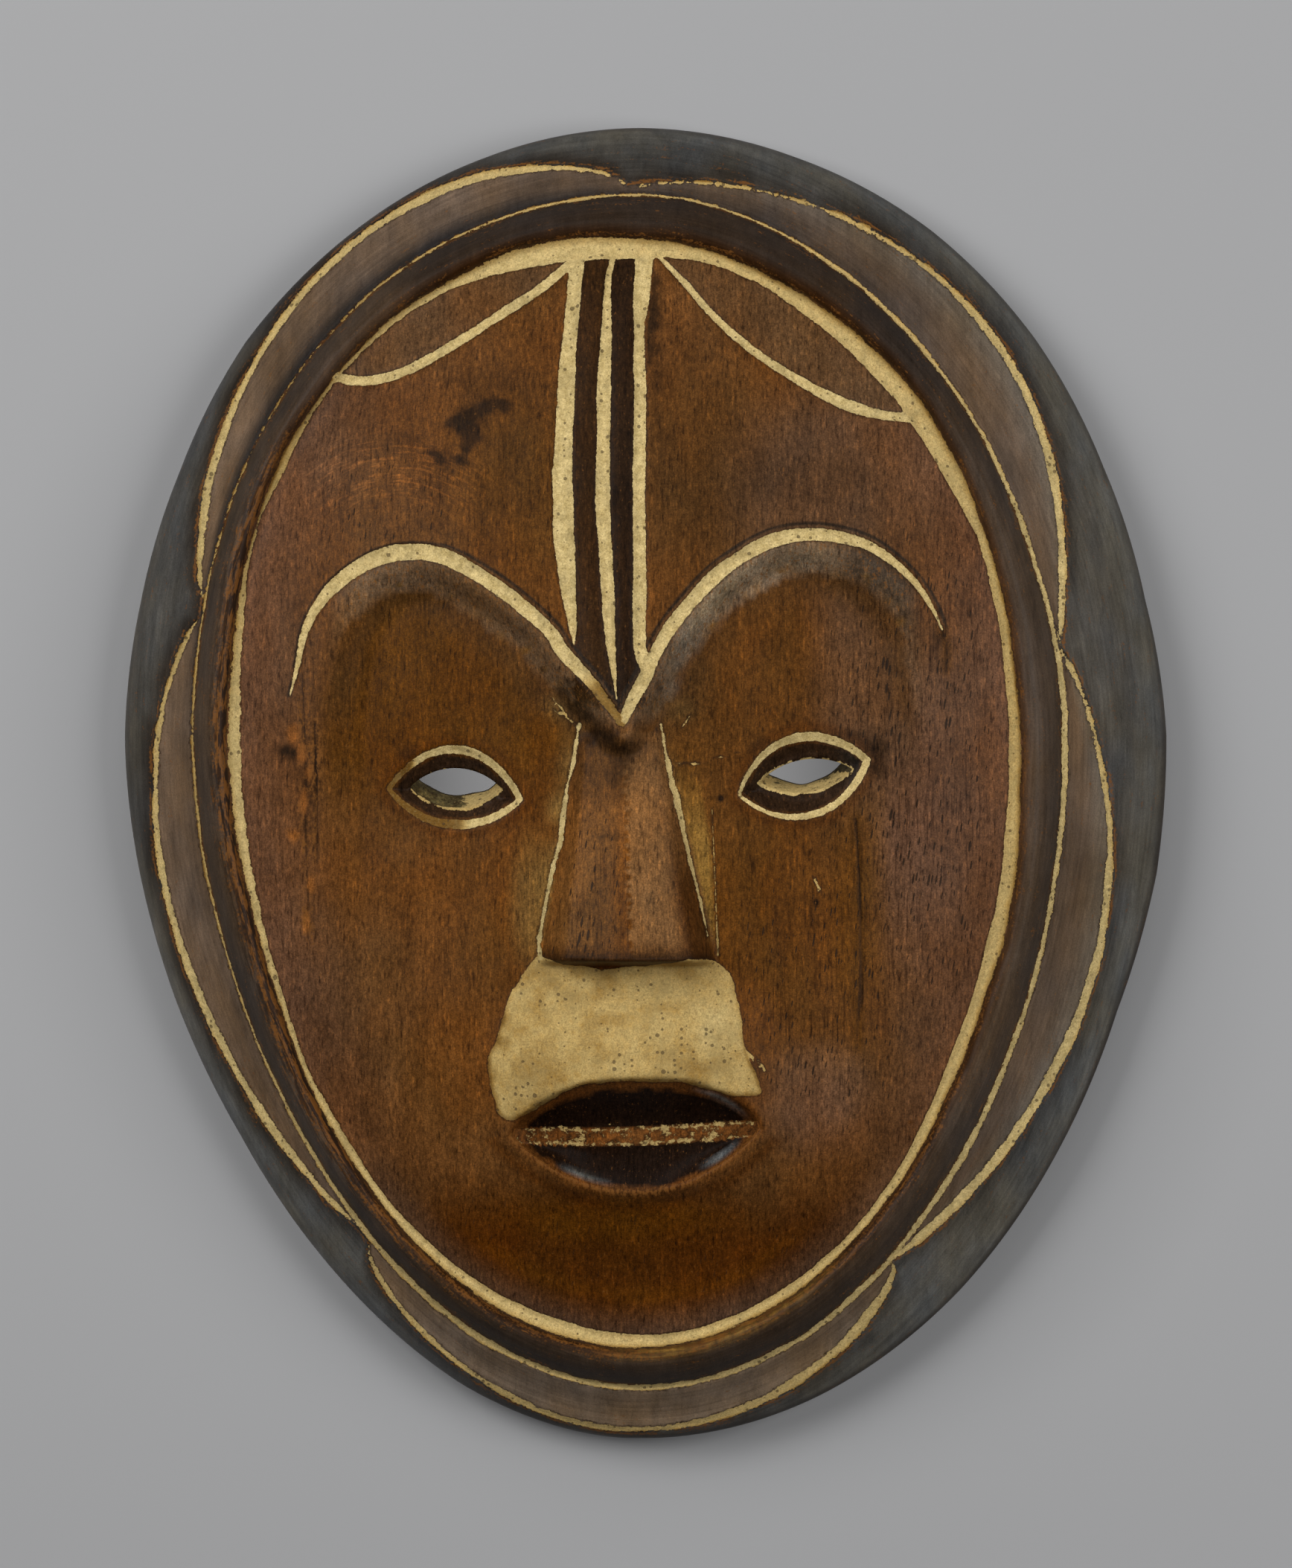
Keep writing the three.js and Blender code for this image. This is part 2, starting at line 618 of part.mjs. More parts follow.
// Rows down the bevel under a brow, left out where they would cross the other brow's
function addBrow(net, line) {
  addGroove(net, line);
  for (const share of BEVEL_ROWS) {
    const distance = BROW_WIDTH / 2 + SOCKET_BEVEL * share;
    const clear = ([x, y]) => nearest(socketEdge, x, y).gap > distance - SMALLEST_GAP / 4;
    net.run(beside(line, () => -distance), false, clear);
  }
}

// The nose's base lines, shoulders and ridge, then the two edges of its underside
function addNose(net) {
  const acrossNose = (share, side) => {
    const row = [];
    for (let i = 1; i <= NOSE_STEPS; i++) {
      const t = i / NOSE_STEPS;
      const ridge = lerp(NOSE_RIDGE.root, NOSE_RIDGE.tip, t);
      row.push([lerp(ridge, lerp(side.root, side.tip, t), share), lerp(NOSE_ROOT_Y, NOSE_TIP_Y, t)]);
    }
    return row;
  };
  for (const side of [NOSE_LEFT, NOSE_RIGHT]) {
    net.run(acrossNose(1, side));
    net.run(acrossNose(NOSE_SHOULDER.across, side));
  }
  net.run([BROW_POINT, ...acrossNose(0, NOSE_LEFT)]);
  for (const y of [NOSE_TIP_Y, NOSE_UNDERSIDE_Y]) {
    const edge = [];
    for (let i = 0; i <= NOSE_STEPS; i++) {
      edge.push([lerp(NOSE_LEFT.tip, NOSE_RIGHT.tip, i / NOSE_STEPS), y]);
    }
    net.run(edge);
  }
}

// The mouth's rim, then on each side of its bar the bar's edge and a row part way up the wall
function addMouth(net) {
  net.run(almondLoop(MOUTH, MOUTH_UPPER_CURVE, MOUTH_LOWER_CURVE, MOUTH_STEPS), true);
  const [[x0, y0], [x1, y1]] = MOUTH.corners;
  for (const side of [-1, 1]) {
    const edge = [];
    for (let i = 0; i < MOUTH_BAR_STEPS; i++) {
      const t = (i + 0.6) / (MOUTH_BAR_STEPS + 0.2);
      edge.push([lerp(x0, x1, t), lerp(y0, y1, t) + side * MOUTH_BAR_HEIGHT / 2]);
    }
    net.run(edge);
    edge.slice(1, -1).forEach(([x, y], i, inner) => {
      const v = 2 * (i + 0.5) / inner.length - 1;
      net.add(x, y + side * MOUTH_WALL_ROW * (1 - v * v), 2 * SMALLEST_GAP);
    });
  }
}

// Faces of a net, without those in its openings or outside the outline
function openFaces(net, openings) {
  return triangulate(net).filter((corners) => {
    const x = corners.reduce((sum, i) => sum + net.points[i][0], 0) / 3;
    const y = corners.reduce((sum, i) => sum + net.points[i][1], 0) / 3;
    return insideLoop(outlineLoop, x, y) && !openings.some((loop) => insideLoop(loop, x, y));
  });
}

function makeFront() {
  const net = new Net();
  const edges = [outlineLoop, ...frontOpenings].map((loop) => net.run(loop, true));
  addBorder(net);
  [...stripeLines, ...leafLines].forEach((line) => addGroove(net, line));
  [leftBrow, rightBrow].forEach((line) => addBrow(net, line));
  addNose(net);
  addMouth(net);
  eyes.forEach((eye) => net.run(eyeLoop(eye.almond, EYE_BEVEL_STATIONS), true));
  const insideFace = (x, y) => {
    const { angle, radius } = polar(x, y);
    const inOpening = frontOpenings.some((loop) => insideLoop(loop, x, y));
    return radius < ovalRadius(THICK_LINE, angle) - THICK_LINE_WIDTH && !inOpening;
  };
  net.fill(FACE_SPACING, insideFace);
  return { net, edges, faces: openFaces(net, frontOpenings) };
}

function makeBack() {
  const net = new Net();
  const edges = [outlineLoop, ...backOpenings].map((loop) => net.run(loop, true));
  for (const inset of HOLLOW_ROWS) {
    const row = rowOf((angle) => ovalRadius(OUTLINE, angle) - RIM_WIDTH - inset);
    net.run(row.filter((place, i) => i % 2 === 0), true);
  }
  const insideHollow = (x, y) => {
    const { angle, radius } = polar(x, y);
    const inOpening = backOpenings.some((loop) => insideLoop(loop, x, y));
    return radius < ovalRadius(OUTLINE, angle) - RIM_WIDTH - BACK_SPACING / 2 && !inOpening;
  };
  net.fill(BACK_SPACING, insideHollow);
  return { net, edges, faces: openFaces(net, backOpenings) };
}

// Front and back, joined by walls round the outline and through the eyes
function makeMask() {
  const front = makeFront();
  const back = makeBack();
  const shift = front.net.points.length;
  const vertices = [
    ...front.net.points.map(([x, y]) => [x, y, frontHeight(x, y)]),
    ...back.net.points.map(([x, y]) => [x, y, backHeight(x, y)]),
  ];
  const faces = [...front.faces, ...back.faces.map(([a, b, c]) => [a + shift, c + shift, b + shift])];
  front.edges.forEach((edge, k) => {
    const under = back.edges[k].map((index) => index + shift);
    for (let i = 1; i < edge.length; i++) {
      faces.push([edge[i - 1], edge[i], under[i]], [edge[i - 1], under[i], under[i - 1]]);
    }
  });
  return { vertices, faces };
}

const { vertices, faces } = makeMask();
const geometry = new THREE.BufferGeometry();
geometry.setAttribute('position', new THREE.Float32BufferAttribute(vertices.flat(), 3));
geometry.setIndex(faces.flat());
geometry.computeVertexNormals();

const wood = new THREE.MeshStandardMaterial({ color: 0x5c3a1c, roughness: 0.5, metalness: 0 });
const mask = new THREE.Mesh(geometry, wood);
mask.name = 'mask';

const group = new THREE.Group();
group.add(mask);

export default group;
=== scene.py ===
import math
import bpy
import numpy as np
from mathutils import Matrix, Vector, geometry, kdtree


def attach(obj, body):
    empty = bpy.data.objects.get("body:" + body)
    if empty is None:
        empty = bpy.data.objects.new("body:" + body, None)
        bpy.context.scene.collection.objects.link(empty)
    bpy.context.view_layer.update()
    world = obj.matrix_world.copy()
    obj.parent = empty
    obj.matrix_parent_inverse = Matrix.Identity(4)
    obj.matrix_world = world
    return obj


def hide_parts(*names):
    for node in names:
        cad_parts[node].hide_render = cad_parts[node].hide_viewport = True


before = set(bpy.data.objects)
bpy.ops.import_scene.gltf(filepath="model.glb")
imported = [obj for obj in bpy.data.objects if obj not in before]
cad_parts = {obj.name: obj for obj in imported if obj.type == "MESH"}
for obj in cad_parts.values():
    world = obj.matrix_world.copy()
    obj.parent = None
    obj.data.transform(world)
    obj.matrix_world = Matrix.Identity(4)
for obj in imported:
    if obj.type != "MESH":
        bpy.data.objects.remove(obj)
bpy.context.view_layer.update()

# %% [markdown]
# # A carved wooden mask
# One block of wood, carved into a domed oval with a face in the middle, stained dark and rubbed by
# hands, with pale paint left in the cut lines. It lies on the flat rim of its hollow back and the
# camera looks straight down on it. All the carving is drawn here in millimetres and only becomes
# metres when the mesh is made, because a carver's cuts are a few millimetres wide.

MM = 0.001
FAR = 99.0
LATTICE = 64


def blend(a, b, t):
    return a + (b - a) * t


def clamp(t):
    return np.clip(t, 0.0, 1.0)


def ease(t):
    """A soft step from 0 to 1."""
    t = clamp(t)
    return t * t * (3 - 2 * t)


def near(value, middle, reach):
    """1 where a value is at the middle, fading to 0 at the reach from it."""
    return ease(1 - np.abs(value - middle) / reach)


def ripple(x, y, size, seed):
    """Smooth unevenness from -1 to 1, in waves of about the given size."""
    heights = np.random.default_rng(seed).uniform(-1, 1, (LATTICE, LATTICE))
    u, v = x / size + 10 * LATTICE, y / size + 10 * LATTICE
    i, j = np.floor(u).astype(int), np.floor(v).astype(int)
    s, t = ease(u - i), ease(v - j)
    i, j = i % LATTICE, j % LATTICE
    i1, j1 = (i + 1) % LATTICE, (j + 1) % LATTICE
    this_row = blend(heights[i, j], heights[i1, j], s)
    next_row = blend(heights[i, j1], heights[i1, j1], s)
    return blend(this_row, next_row, t)


# %% [markdown]
# ## The plan of the mask
# Carvers draw such a face from its middle: an outline, then one oval inside another. Each oval has a
# reach to the right, top, left and bottom, and a fullness for each quarter, so a few numbers hold
# the whole border. Numbers can be checked and changed, which points pushed by hand can't.

# %% The ovals and crescents in numbers
MASK_HEIGHT = 343.2
MASK_WIDTH = 271.6
MIDDLE = (-1.6, 12.7)
OUTLINE = ((137.4, 158.9, 134.2, 184.3), (1.98, 1.99, 1.81, 1.97))
THIN_LINE = ((108.8, 138.2, 114.0, 167.4), (1.87, 2.11, 1.87, 1.99))
THICK_LINE = ((96.0, 124.2, 103.3, 154.9), (1.95, 2.36, 1.95, 2.01))
THIN_LINE_SHIFTS = (
    1.4, 1.2, 1.1, 1.0, 0.5, 0.4, 0.9, 1.1, 1.0, 1.0, 0.8, 1.6,
    1.7, 2.2, 1.5, 0.8, 0.7, 1.3, 1.3, 1.0, 1.3, 1.2, 1.3, 1.1,
)
THICK_LINE_SHIFTS = (
    0.9, 1.1, 0.6, -0.1, 0.0, 0.6, 0.5, 0.8, 1.0, 0.5, 0.5, -0.1,
    0.4, 0.7, 1.2, 1.4, 1.4, 0.7, 0.4, 0.7, 1.4, 1.2, 1.3, 1.5,
    1.6, 1.5, 2.1, 1.8, 1.6, 1.2, 1.3, 0.2, 0.2, -0.0, 0.5, 0.9,
    0.8, 0.8, 0.8, 1.4, 1.4, 0.5, 0.4, 0.5, 0.6, 1.0, 1.4, 1.2,
)
THICK_LINE_WIDTHS = (
    5.6, 3.4, 3.3, 4.4, 5.2, 5.5, 5.0, 4.2, 2.6, 2.7, 2.9, 2.6,
    3.4, 3.1, 3.7, 4.4, 4.3, 3.4, 3.7, 3.1, 2.5, 2.1, 2.9, 3.0,
    3.3, 3.9, 3.3, 3.1, 2.0, 2.5, 1.9, 1.9, 2.3, 2.6, 3.0, 3.8,
    3.6, 2.9, 2.5, 1.4, 0.8, 2.5, 1.1, 1.4, 1.8, 2.5, 5.1, 6.4,
)
CRESCENT_LINE_WIDTHS = (
    1.0, 1.5, 1.8, 2.6, 2.8, 2.2, 1.6, 2.2, 2.7, 2.6, 3.0, 3.1,
    1.6, 1.9, 1.8, 2.3, 2.3, 2.1, 1.5, 1.7, 2.4, 2.0, 2.2, 2.8,
)
OUTLINE_FLATS = (
    0.0, -0.2, 0.5, 0.1, -1.3, -1.4, 0.5, 0.8, -0.9, -0.5, 0.2, 0.1,
    -0.5, 0.7, -0.1, -0.7, 0.1, 0.3, 0.3, -0.5, -0.5, 0.8, 0.1, -0.3,
)
CRESCENTS = (
    # start and end in degrees clockwise from the top, bulge, skew, fullness
    (-10.0, 81.0, 17.4, 1.17, 1.32),
    (77.0, 155.0, 15.6, 1.0, 0.95),
    (154.2, 208.0, 11.8, 1.0, 0.36),
    (209.3, 285.0, 12.0, 1.2, 0.62),
    (287.0, 359.0, 14.1, 1.5, 0.45),
)
print("outline", MASK_HEIGHT, "by", MASK_WIDTH, "mm,", len(CRESCENTS), "crescents")

# %% Radii round the mask
def oval_radius(oval, angle):
    """Radius of an oval in a direction, clockwise from the top."""
    (right, top, left, bottom), (top_right, top_left, bottom_left, bottom_right) = oval
    across, up = np.sin(angle), np.cos(angle)
    reach_across = np.where(across > 0, right, left)
    reach_up = np.where(up > 0, top, bottom)
    upper = np.where(across > 0, top_right, top_left)
    lower = np.where(across > 0, bottom_right, bottom_left)
    n = np.where(up > 0, upper, lower)
    return (np.abs(across / reach_across) ** n + np.abs(up / reach_up) ** n) ** (-1 / n)


def around(values, angle):
    """A value given every few degrees, clockwise from the top, between its stations."""
    stations = np.linspace(0, 360, len(values) + 1)
    return np.interp(np.degrees(angle) % 360, stations, [*values, values[0]])


def outline_radius(angle):
    return oval_radius(OUTLINE, angle) + around(OUTLINE_FLATS, angle)


def thin_line_radius(angle):
    return oval_radius(THIN_LINE, angle) + around(THIN_LINE_SHIFTS, angle)


def thick_line_radius(angle):
    return oval_radius(THICK_LINE, angle) + around(THICK_LINE_SHIFTS, angle)


def crescent_at(angle):
    """How far the crescents' outer line stands off the thin line, and how wide that line is."""
    bulge = np.zeros_like(angle)
    for start, end, reach, skew, fullness in CRESCENTS:
        along = ((np.degrees(angle) - start) % 360) / (end - start)
        inside = along < 1
        t = np.where(inside, along, 0)
        bulge = np.maximum(bulge, np.where(inside, reach * np.sin(np.pi * t ** skew) ** fullness, 0))
    return bulge, around(CRESCENT_LINE_WIDTHS, angle)


def polar(x, y):
    dx, dy = x - MIDDLE[0], y - MIDDLE[1]
    return np.arctan2(dx, dy), np.hypot(dx, dy)


def at_angle(angle, radius):
    return np.column_stack([MIDDLE[0] + radius * np.sin(angle), MIDDLE[1] + radius * np.cos(angle)])


print("radius at the top", round(float(outline_radius(np.zeros(1))[0]), 1), "mm")

# %% [markdown]
# ## The lines of the face
# Brows, stripes and leaves were cut with a narrow gouge, a little uneven in width. Each is a few
# places that the tool passed through, with the width of the cut there, and a smooth curve runs
# through them. The same curve later gives the groove, its paint and the worn edge beside it.

# %% Traced lines: places and widths along them
BROW_POINT = (-5.9, 15.4)
LEFT_BROW = (
    (-91.1, 22.4, 0.2), (-89.2, 30.0, 1.3), (-86.9, 39.9, 2.3), (-81.9, 48.3, 3.1), (-74.6, 54.5, 3.8),
    (-67.3, 58.1, 4.2), (-58.9, 59.3, 4.2), (-51.6, 58.1, 4.0), (-42.4, 53.3, 3.7), (-33.5, 47.0, 3.6),
    (-24.4, 38.9, 3.5), (-20.8, 33.4, 3.4), (-13.4, 25.4, 3.2), (-5.9, 15.4, 2.4),
)
RIGHT_BROW = (
    (-5.9, 15.4, 2.2), (-2.8, 22.2, 3.2), (0.4, 28.0, 3.4), (3.0, 34.2, 3.3), (8.5, 42.6, 3.4),
    (16.6, 51.7, 3.6), (24.8, 58.0, 3.6), (33.0, 62.1, 3.7), (41.1, 63.6, 3.6), (49.3, 63.0, 3.2),
    (56.8, 60.9, 2.6), (63.1, 56.9, 2.2), (68.6, 51.8, 1.8), (73.2, 45.3, 1.2), (75.9, 39.5, 0.4),
)
STRIPES = (
    ((-17.6, 134.0, 4.0), (-18.7, 120.8, 3.8), (-20.2, 101.4, 4.4), (-21.0, 80.3, 5.0),
     (-20.8, 66.9, 5.3), (-19.9, 53.6, 4.6), (-18.5, 40.5, 2.2), (-18.1, 35.5, 0.3)),
    ((-8.4, 135.2, 1.6), (-9.6, 128.6, 1.9), (-9.9, 117.5, 2.6), (-10.5, 102.7, 3.5),
     (-10.6, 89.8, 3.6), (-10.8, 71.5, 3.8), (-10.0, 57.8, 3.6), (-9.3, 44.1, 3.1),
     (-8.7, 35.0, 2.5), (-7.3, 21.6, 0.4)),
    ((-0.2, 136.0, 4.8), (-1.0, 124.9, 4.5), (-1.5, 117.5, 2.9), (-1.5, 108.1, 3.0),
     (-1.3, 98.9, 3.2), (-1.6, 76.1, 3.3), (-1.4, 53.2, 3.4), (-1.4, 35.0, 3.4), (0.0, 29.6, 2.8)),
)
LEAF_EDGES = (
    ((-18.6, 134.6, 2.6), (-27.3, 127.0, 2.4), (-36.5, 121.0, 2.6), (-45.6, 115.0, 2.4),
     (-54.8, 109.5, 2.5), (-62.1, 105.9, 2.5), (-69.4, 103.9, 2.6), (-75.1, 103.9, 2.7),
     (-79.6, 105.0, 2.4)),
    ((3.1, 136.3, 1.0), (10.5, 128.3, 1.7), (16.8, 120.8, 2.0), (24.0, 113.9, 2.2),
     (31.4, 108.3, 2.3), (37.7, 104.3, 2.4), (45.9, 99.7, 2.8), (53.4, 96.5, 3.0), (60.6, 94.7, 2.6),
     (70.4, 93.8, 2.4)),
)
NOSE_EDGES = (
    ((-16.9, 15.2, 1.2), (-18.4, 5.2, 1.2), (-19.8, -0.3, 1.1), (-20.9, -7.9, 1.5), (-21.9, -15.5, 1.5),
     (-23.4, -21.0, 1.3), (-24.8, -27.3, 1.1), (-26.0, -33.8, 1.2), (-27.0, -40.0, 1.3),
     (-26.6, -44.4, 1.6)),
    ((4.0, 15.2, 0.8), (5.9, 4.6, 1.5), (8.5, -6.3, 1.9), (11.0, -17.8, 1.3), (12.9, -25.3, 0.9),
     (14.6, -32.3, 0.8), (15.9, -38.6, 0.4)),
)
NOSE_FLANK_EDGE = ((17.0, -6.0, 0.1), (17.8, -25.0, 0.3), (18.2, -35.0, 0.4), (18.5, -43.6, 0.7))
CRACKS = (
    ((-87.8, 28.0, 0.2), (-87.2, 14.0, 0.4), (-86.8, 2.0, 0.6), (-87.0, -12.0, 0.5), (-86.5, -28.0, 0.4),
     (-86.7, -42.0, 0.2)),
    ((-84.7, 16.0, 0.2), (-84.2, 4.0, 0.5), (-83.9, -8.0, 0.4), (-84.2, -22.0, 0.2)),
    ((53.8, -9.0, 0.2), (54.7, -24.0, 0.4), (55.1, -37.0, 0.7), (55.3, -48.7, 1.0), (54.7, -59.3, 0.6),
     (54.4, -67.0, 0.2)),
    ((76.0, 39.4, 0.5), (77.0, 34.6, 0.6), (76.9, 29.5, 0.2)),
)
print(len(STRIPES), "stripes,", len(LEAF_EDGES), "leaves and", len(CRACKS), "cracks")

# %% Smooth lines through the places
def trace(places, step=0.7):
    """A smooth run through places, with the width of the cut as its third number."""
    p = np.array(places, float)
    ends = np.vstack([2 * p[0] - p[1], p, 2 * p[-1] - p[-2]])
    run = []
    for a, b, c, d in zip(ends, ends[1:], ends[2:], ends[3:]):
        count = max(1, int(np.hypot(*(c - b)[:2]) / step))
        t = (np.arange(count) / count)[:, None]
        run.append(0.5 * (2 * b + (c - a) * t + (2 * a - 5 * b + 4 * c - d) * t ** 2
                          + (3 * b - a - 3 * c + d) * t ** 3))
    run = np.vstack([*run, p[-1:]])
    run[:, 2] = np.maximum(run[:, 2], 0.1)
    return run


def nearest(line, x, y, reach=12.0):
    """Distance from each place to a line, the line's width there, and how far along it."""
    gap, width, along = np.full(x.shape, FAR), np.full(x.shape, 0.1), np.zeros(x.shape)
    low, high = line[:, :2].min(0) - reach, line[:, :2].max(0) + reach
    close = np.flatnonzero((x > low[0]) & (x < high[0]) & (y > low[1]) & (y < high[1]))
    a, step = line[:-1], np.diff(line, axis=0)
    square = (step[:, :2] ** 2).sum(1)
    for block in np.array_split(close, max(1, len(close) // 3000)):
        dx, dy = x[block, None] - a[:, 0], y[block, None] - a[:, 1]
        t = clamp((dx * step[:, 0] + dy * step[:, 1]) / square)
        off = np.hypot(dx - t * step[:, 0], dy - t * step[:, 1])
        best = off.argmin(1)
        row = np.arange(len(block))
        gap[block] = off[row, best]
        width[block] = a[best, 2] + t[row, best] * step[best, 2]
        along[block] = (best + t[row, best]) / len(step)
    return gap, width, along


left_brow, right_brow = trace(LEFT_BROW), trace(RIGHT_BROW)
stripes = [trace(places) for places in STRIPES]
leaves = [trace(places) for places in LEAF_EDGES]
nose_edges = [trace(places) for places in NOSE_EDGES]
nose_flank_edge = trace(NOSE_FLANK_EDGE)
cracks = [trace(places) for places in CRACKS]
cut_lines = [left_brow, right_brow, *stripes, *leaves]
print(len(cut_lines), "cut lines,", sum(len(line) for line in cut_lines), "places along them")

# %% [markdown]
# ## Eyes, nose and mouth
# The eyes and the mouth are almonds: two corners with one arc above and one below. The eyes go right
# through the wall, bevelled from a painted band down to the opening. The mouth is a dark recess
# whose walls slope in to a level bar. The nose is a wedge, and a patch of thick paint lies between
# nose and mouth.

# %% Sizes of eyes, mouth, nose and lip patch
EYE_CURVES = ((2.0, 1.2), (2.0, 1.2))
LEFT_EYE = {
    "almond": ((-66.2, -1.2), (-31.2, -4.1), 12.6, 8.9),
    "opening": ((-60.2, -0.9), (-36.5, -1.6), 5.3, 5.1),
    "behind": ((-58.8, 1.8), (-37.6, 1.2), 4.6, 4.4),
    "band": (2.4, 2.5, 1.3, 1.7),
}
RIGHT_EYE = {
    "almond": ((23.5, -2.9), (57.6, 6.4), 11.4, 10.8),
    "opening": ((29.4, 0.3), (53.0, 3.7), 4.3, 4.3),
    "behind": ((31.0, 3.4), (50.6, 6.2), 4.8, 4.2),
    "band": (2.6, 1.9, 0.9, 2.1),
}
EYES = (LEFT_EYE, RIGHT_EYE)
EYE_BEVEL_DEPTH = 4.0
MOUTH = ((-34.2, -90.2), (29.6, -88.1), 14.6, 15.2)
MOUTH_CURVES = ((2.4, 1.54), (2.1, 1.05))
MOUTH_DEPTH = 9.5
MOUTH_BAR_HEIGHT = 3.8
MOUTH_BAR_BOW = 0.9
MOUTH_WALL_CURVE = 1.7
MUZZLE = (-2.3, -80.0, 46.0, 40.0, 7.5)
CHIN_HOLLOW = (-4.0, -122.0, 62.0, 27.0, 5.0)
NOSE_ROOT_Y = 14.5
NOSE_TIP_Y = -44.4
NOSE_UNDERSIDE_Y = -46.8
NOSE_LEFT = (-16.9, -27.2)
NOSE_RIGHT = (4.0, 17.9)
NOSE_RIDGE = (-5.6, -3.4)
NOSE_RISE = (2.0, 18.5)
NOSE_SHOULDER = (0.74, 0.6)
LIP_PATCH = (
    (-27.3, -43.8), (-31.0, -48.0), (-34.3, -53.9), (-36.2, -59.5), (-38.5, -65.8), (-39.9, -72.1),
    (-39.0, -79.6), (-37.3, -84.2), (-33.7, -85.9), (-27.2, -82.6), (-19.9, -78.2), (-14.6, -76.6),
    (-8.9, -75.6), (-2.5, -75.3), (6.3, -75.6), (15.0, -77.5), (23.2, -79.8), (29.6, -79.3),
    (28.5, -74.9), (25.8, -68.4), (24.8, -61.1), (23.1, -53.9), (21.4, -48.2), (18.9, -45.6),
    (16.0, -44.7), (11.0, -44.6), (5.0, -45.6), (-2.0, -46.5), (-10.0, -46.9), (-17.0, -46.4),
    (-23.0, -44.9),
)
LIP_PATCH_THICKNESS = 0.2
print("nose from", NOSE_ROOT_Y, "to", NOSE_TIP_Y, "mm, patch of", len(LIP_PATCH), "places")

# %% Almonds and the edge of the patch
def almond_place(almond, curves, x, y):
    """Level is 0 in the middle of an almond and 1 on its edge; v runs along its length."""
    (x0, y0), (x1, y1), rise, drop = almond
    upper, lower = curves
    half = math.hypot(x1 - x0, y1 - y0) / 2
    ax, ay = (x1 - x0) / (2 * half), (y1 - y0) / (2 * half)
    dx, dy = x - (x0 + x1) / 2, y - (y0 + y1) / 2
    v, off = (dx * ax + dy * ay) / half, dy * ax - dx * ay
    above = off > 0
    across, up = np.where(above, upper[0], lower[0]), np.where(above, upper[1], lower[1])
    height = np.abs(off) / np.where(above, rise, drop)
    return np.abs(v) ** across + height ** up, v, off


def almond_loop(almond, curves, count):
    """Places round an almond, crowded towards its corners."""
    (x0, y0), (x1, y1), rise, drop = almond
    upper, lower = curves
    turn = 2 * np.pi * np.arange(count) / count
    v = np.cos(turn)
    above = np.sin(turn) >= 0
    across, up = np.where(above, upper[0], lower[0]), np.where(above, upper[1], lower[1])
    off = np.where(above, rise, -drop) * clamp(1 - np.abs(v) ** across) ** (1 / up)
    length = math.hypot(x1 - x0, y1 - y0)
    along = (v + 1) / 2
    return np.column_stack([
        blend(x0, x1, along) - (y1 - y0) / length * off,
        blend(y0, y1, along) + (x1 - x0) / length * off,
    ])


def inside_almond(almond, curves, x, y):
    """How far inside an almond's edge a place is, in millimetres, negative outside."""
    step, flattest = 0.15, 0.004
    level = almond_place(almond, curves, x, y)[0]
    slope_x = almond_place(almond, curves, x + step, y)[0] - level
    slope_y = almond_place(almond, curves, x, y + step)[0] - level
    return (1 - level) * step / np.maximum(np.hypot(slope_x, slope_y), flattest)


def inside_loop(loop, x, y):
    loop = np.array(loop)
    odd = np.zeros(x.shape, bool)
    for (ax, ay), (bx, by) in zip(loop, np.roll(loop, -1, 0)):
        if ay != by:
            odd ^= ((ay > y) != (by > y)) & (x < ax + (bx - ax) * (y - ay) / (by - ay))
    return odd


def inside_patch(x, y):
    """How far inside the lip patch a place is, negative outside."""
    ring = trace([(px, py, 0) for px, py in (*LIP_PATCH, LIP_PATCH[0])], 1.5)
    gap = nearest(ring, x, y)[0]
    close = gap < FAR
    sign = np.full(x.shape, -1.0)
    sign[close] = np.where(inside_loop(ring[:-1, :2], x[close], y[close]), 1.0, -1.0)
    return gap * sign


print("eyes, mouth and patch set out")

# %% [markdown]
# ## How high the carved front stands
# The front is a dome. On it a rounded roll runs between two cut ovals, crescents are scooped out of
# the flank, and the face dips in just inside the roll. Brows, sockets, nose, lips and chin are added
# to that. A height for each place is how a relief carver thinks too: how deep to cut here.

# %% Heights and depths, and the upper edge of the sockets
DOME_HEIGHT = 60.0
EDGE_HEIGHT = 9.0
DOME_ROUNDNESS = 0.6
LINE_DEPTH = 0.75
RING_RISE = 4.1
RING_LEAN = 0.8
FACE_DIP = (4.0, 3.0, 9.0)
CRESCENT_SCOOP = 2.0
CRESCENT_LEAN = 1.35
BROW_DEPTH = 0.8
STRIPE_DEPTH = 0.7
STRIPES_X = -9.0
STRIPES_HALF = 11.0
STRIPES_END_Y = 18.0
BROW_HALF = 1.9
SOCKET_DEPTH = (7.0, 3.0)
SOCKET_BEVEL = (7.0, 30.0)
SOCKET_ENDS = ((-90.0, -48.0), (77.0, -48.0))
SOCKET_TURN = (35.0, 98.0)
SOCKET_FADE = (4.0, -80.0)

socket_edge = np.vstack([
    trace([(*SOCKET_ENDS[0], 0), (-92.6, -14.0, 0), (-91.1, 22.4, 0)], 3)[:-1], left_brow,
    right_brow[1:], trace([(75.9, 39.5, 0), (79.5, -4.0, 0), (*SOCKET_ENDS[1], 0)], 3)[1:],
])
far_below = [[SOCKET_ENDS[1][0], -300], [SOCKET_ENDS[0][0], -300]]
under_brows = np.vstack([socket_edge[::4, :2], socket_edge[-1:, :2], far_below])
print("socket edge through", len(socket_edge), "places")

# %% Cuts, sockets, nose and mouth as heights
def cut(depth, half, off):
    """A gouge cut: round at the bottom with crisp edges."""
    return depth * clamp(1 - (off / np.maximum(half, 0.05)) ** 2) ** 0.8


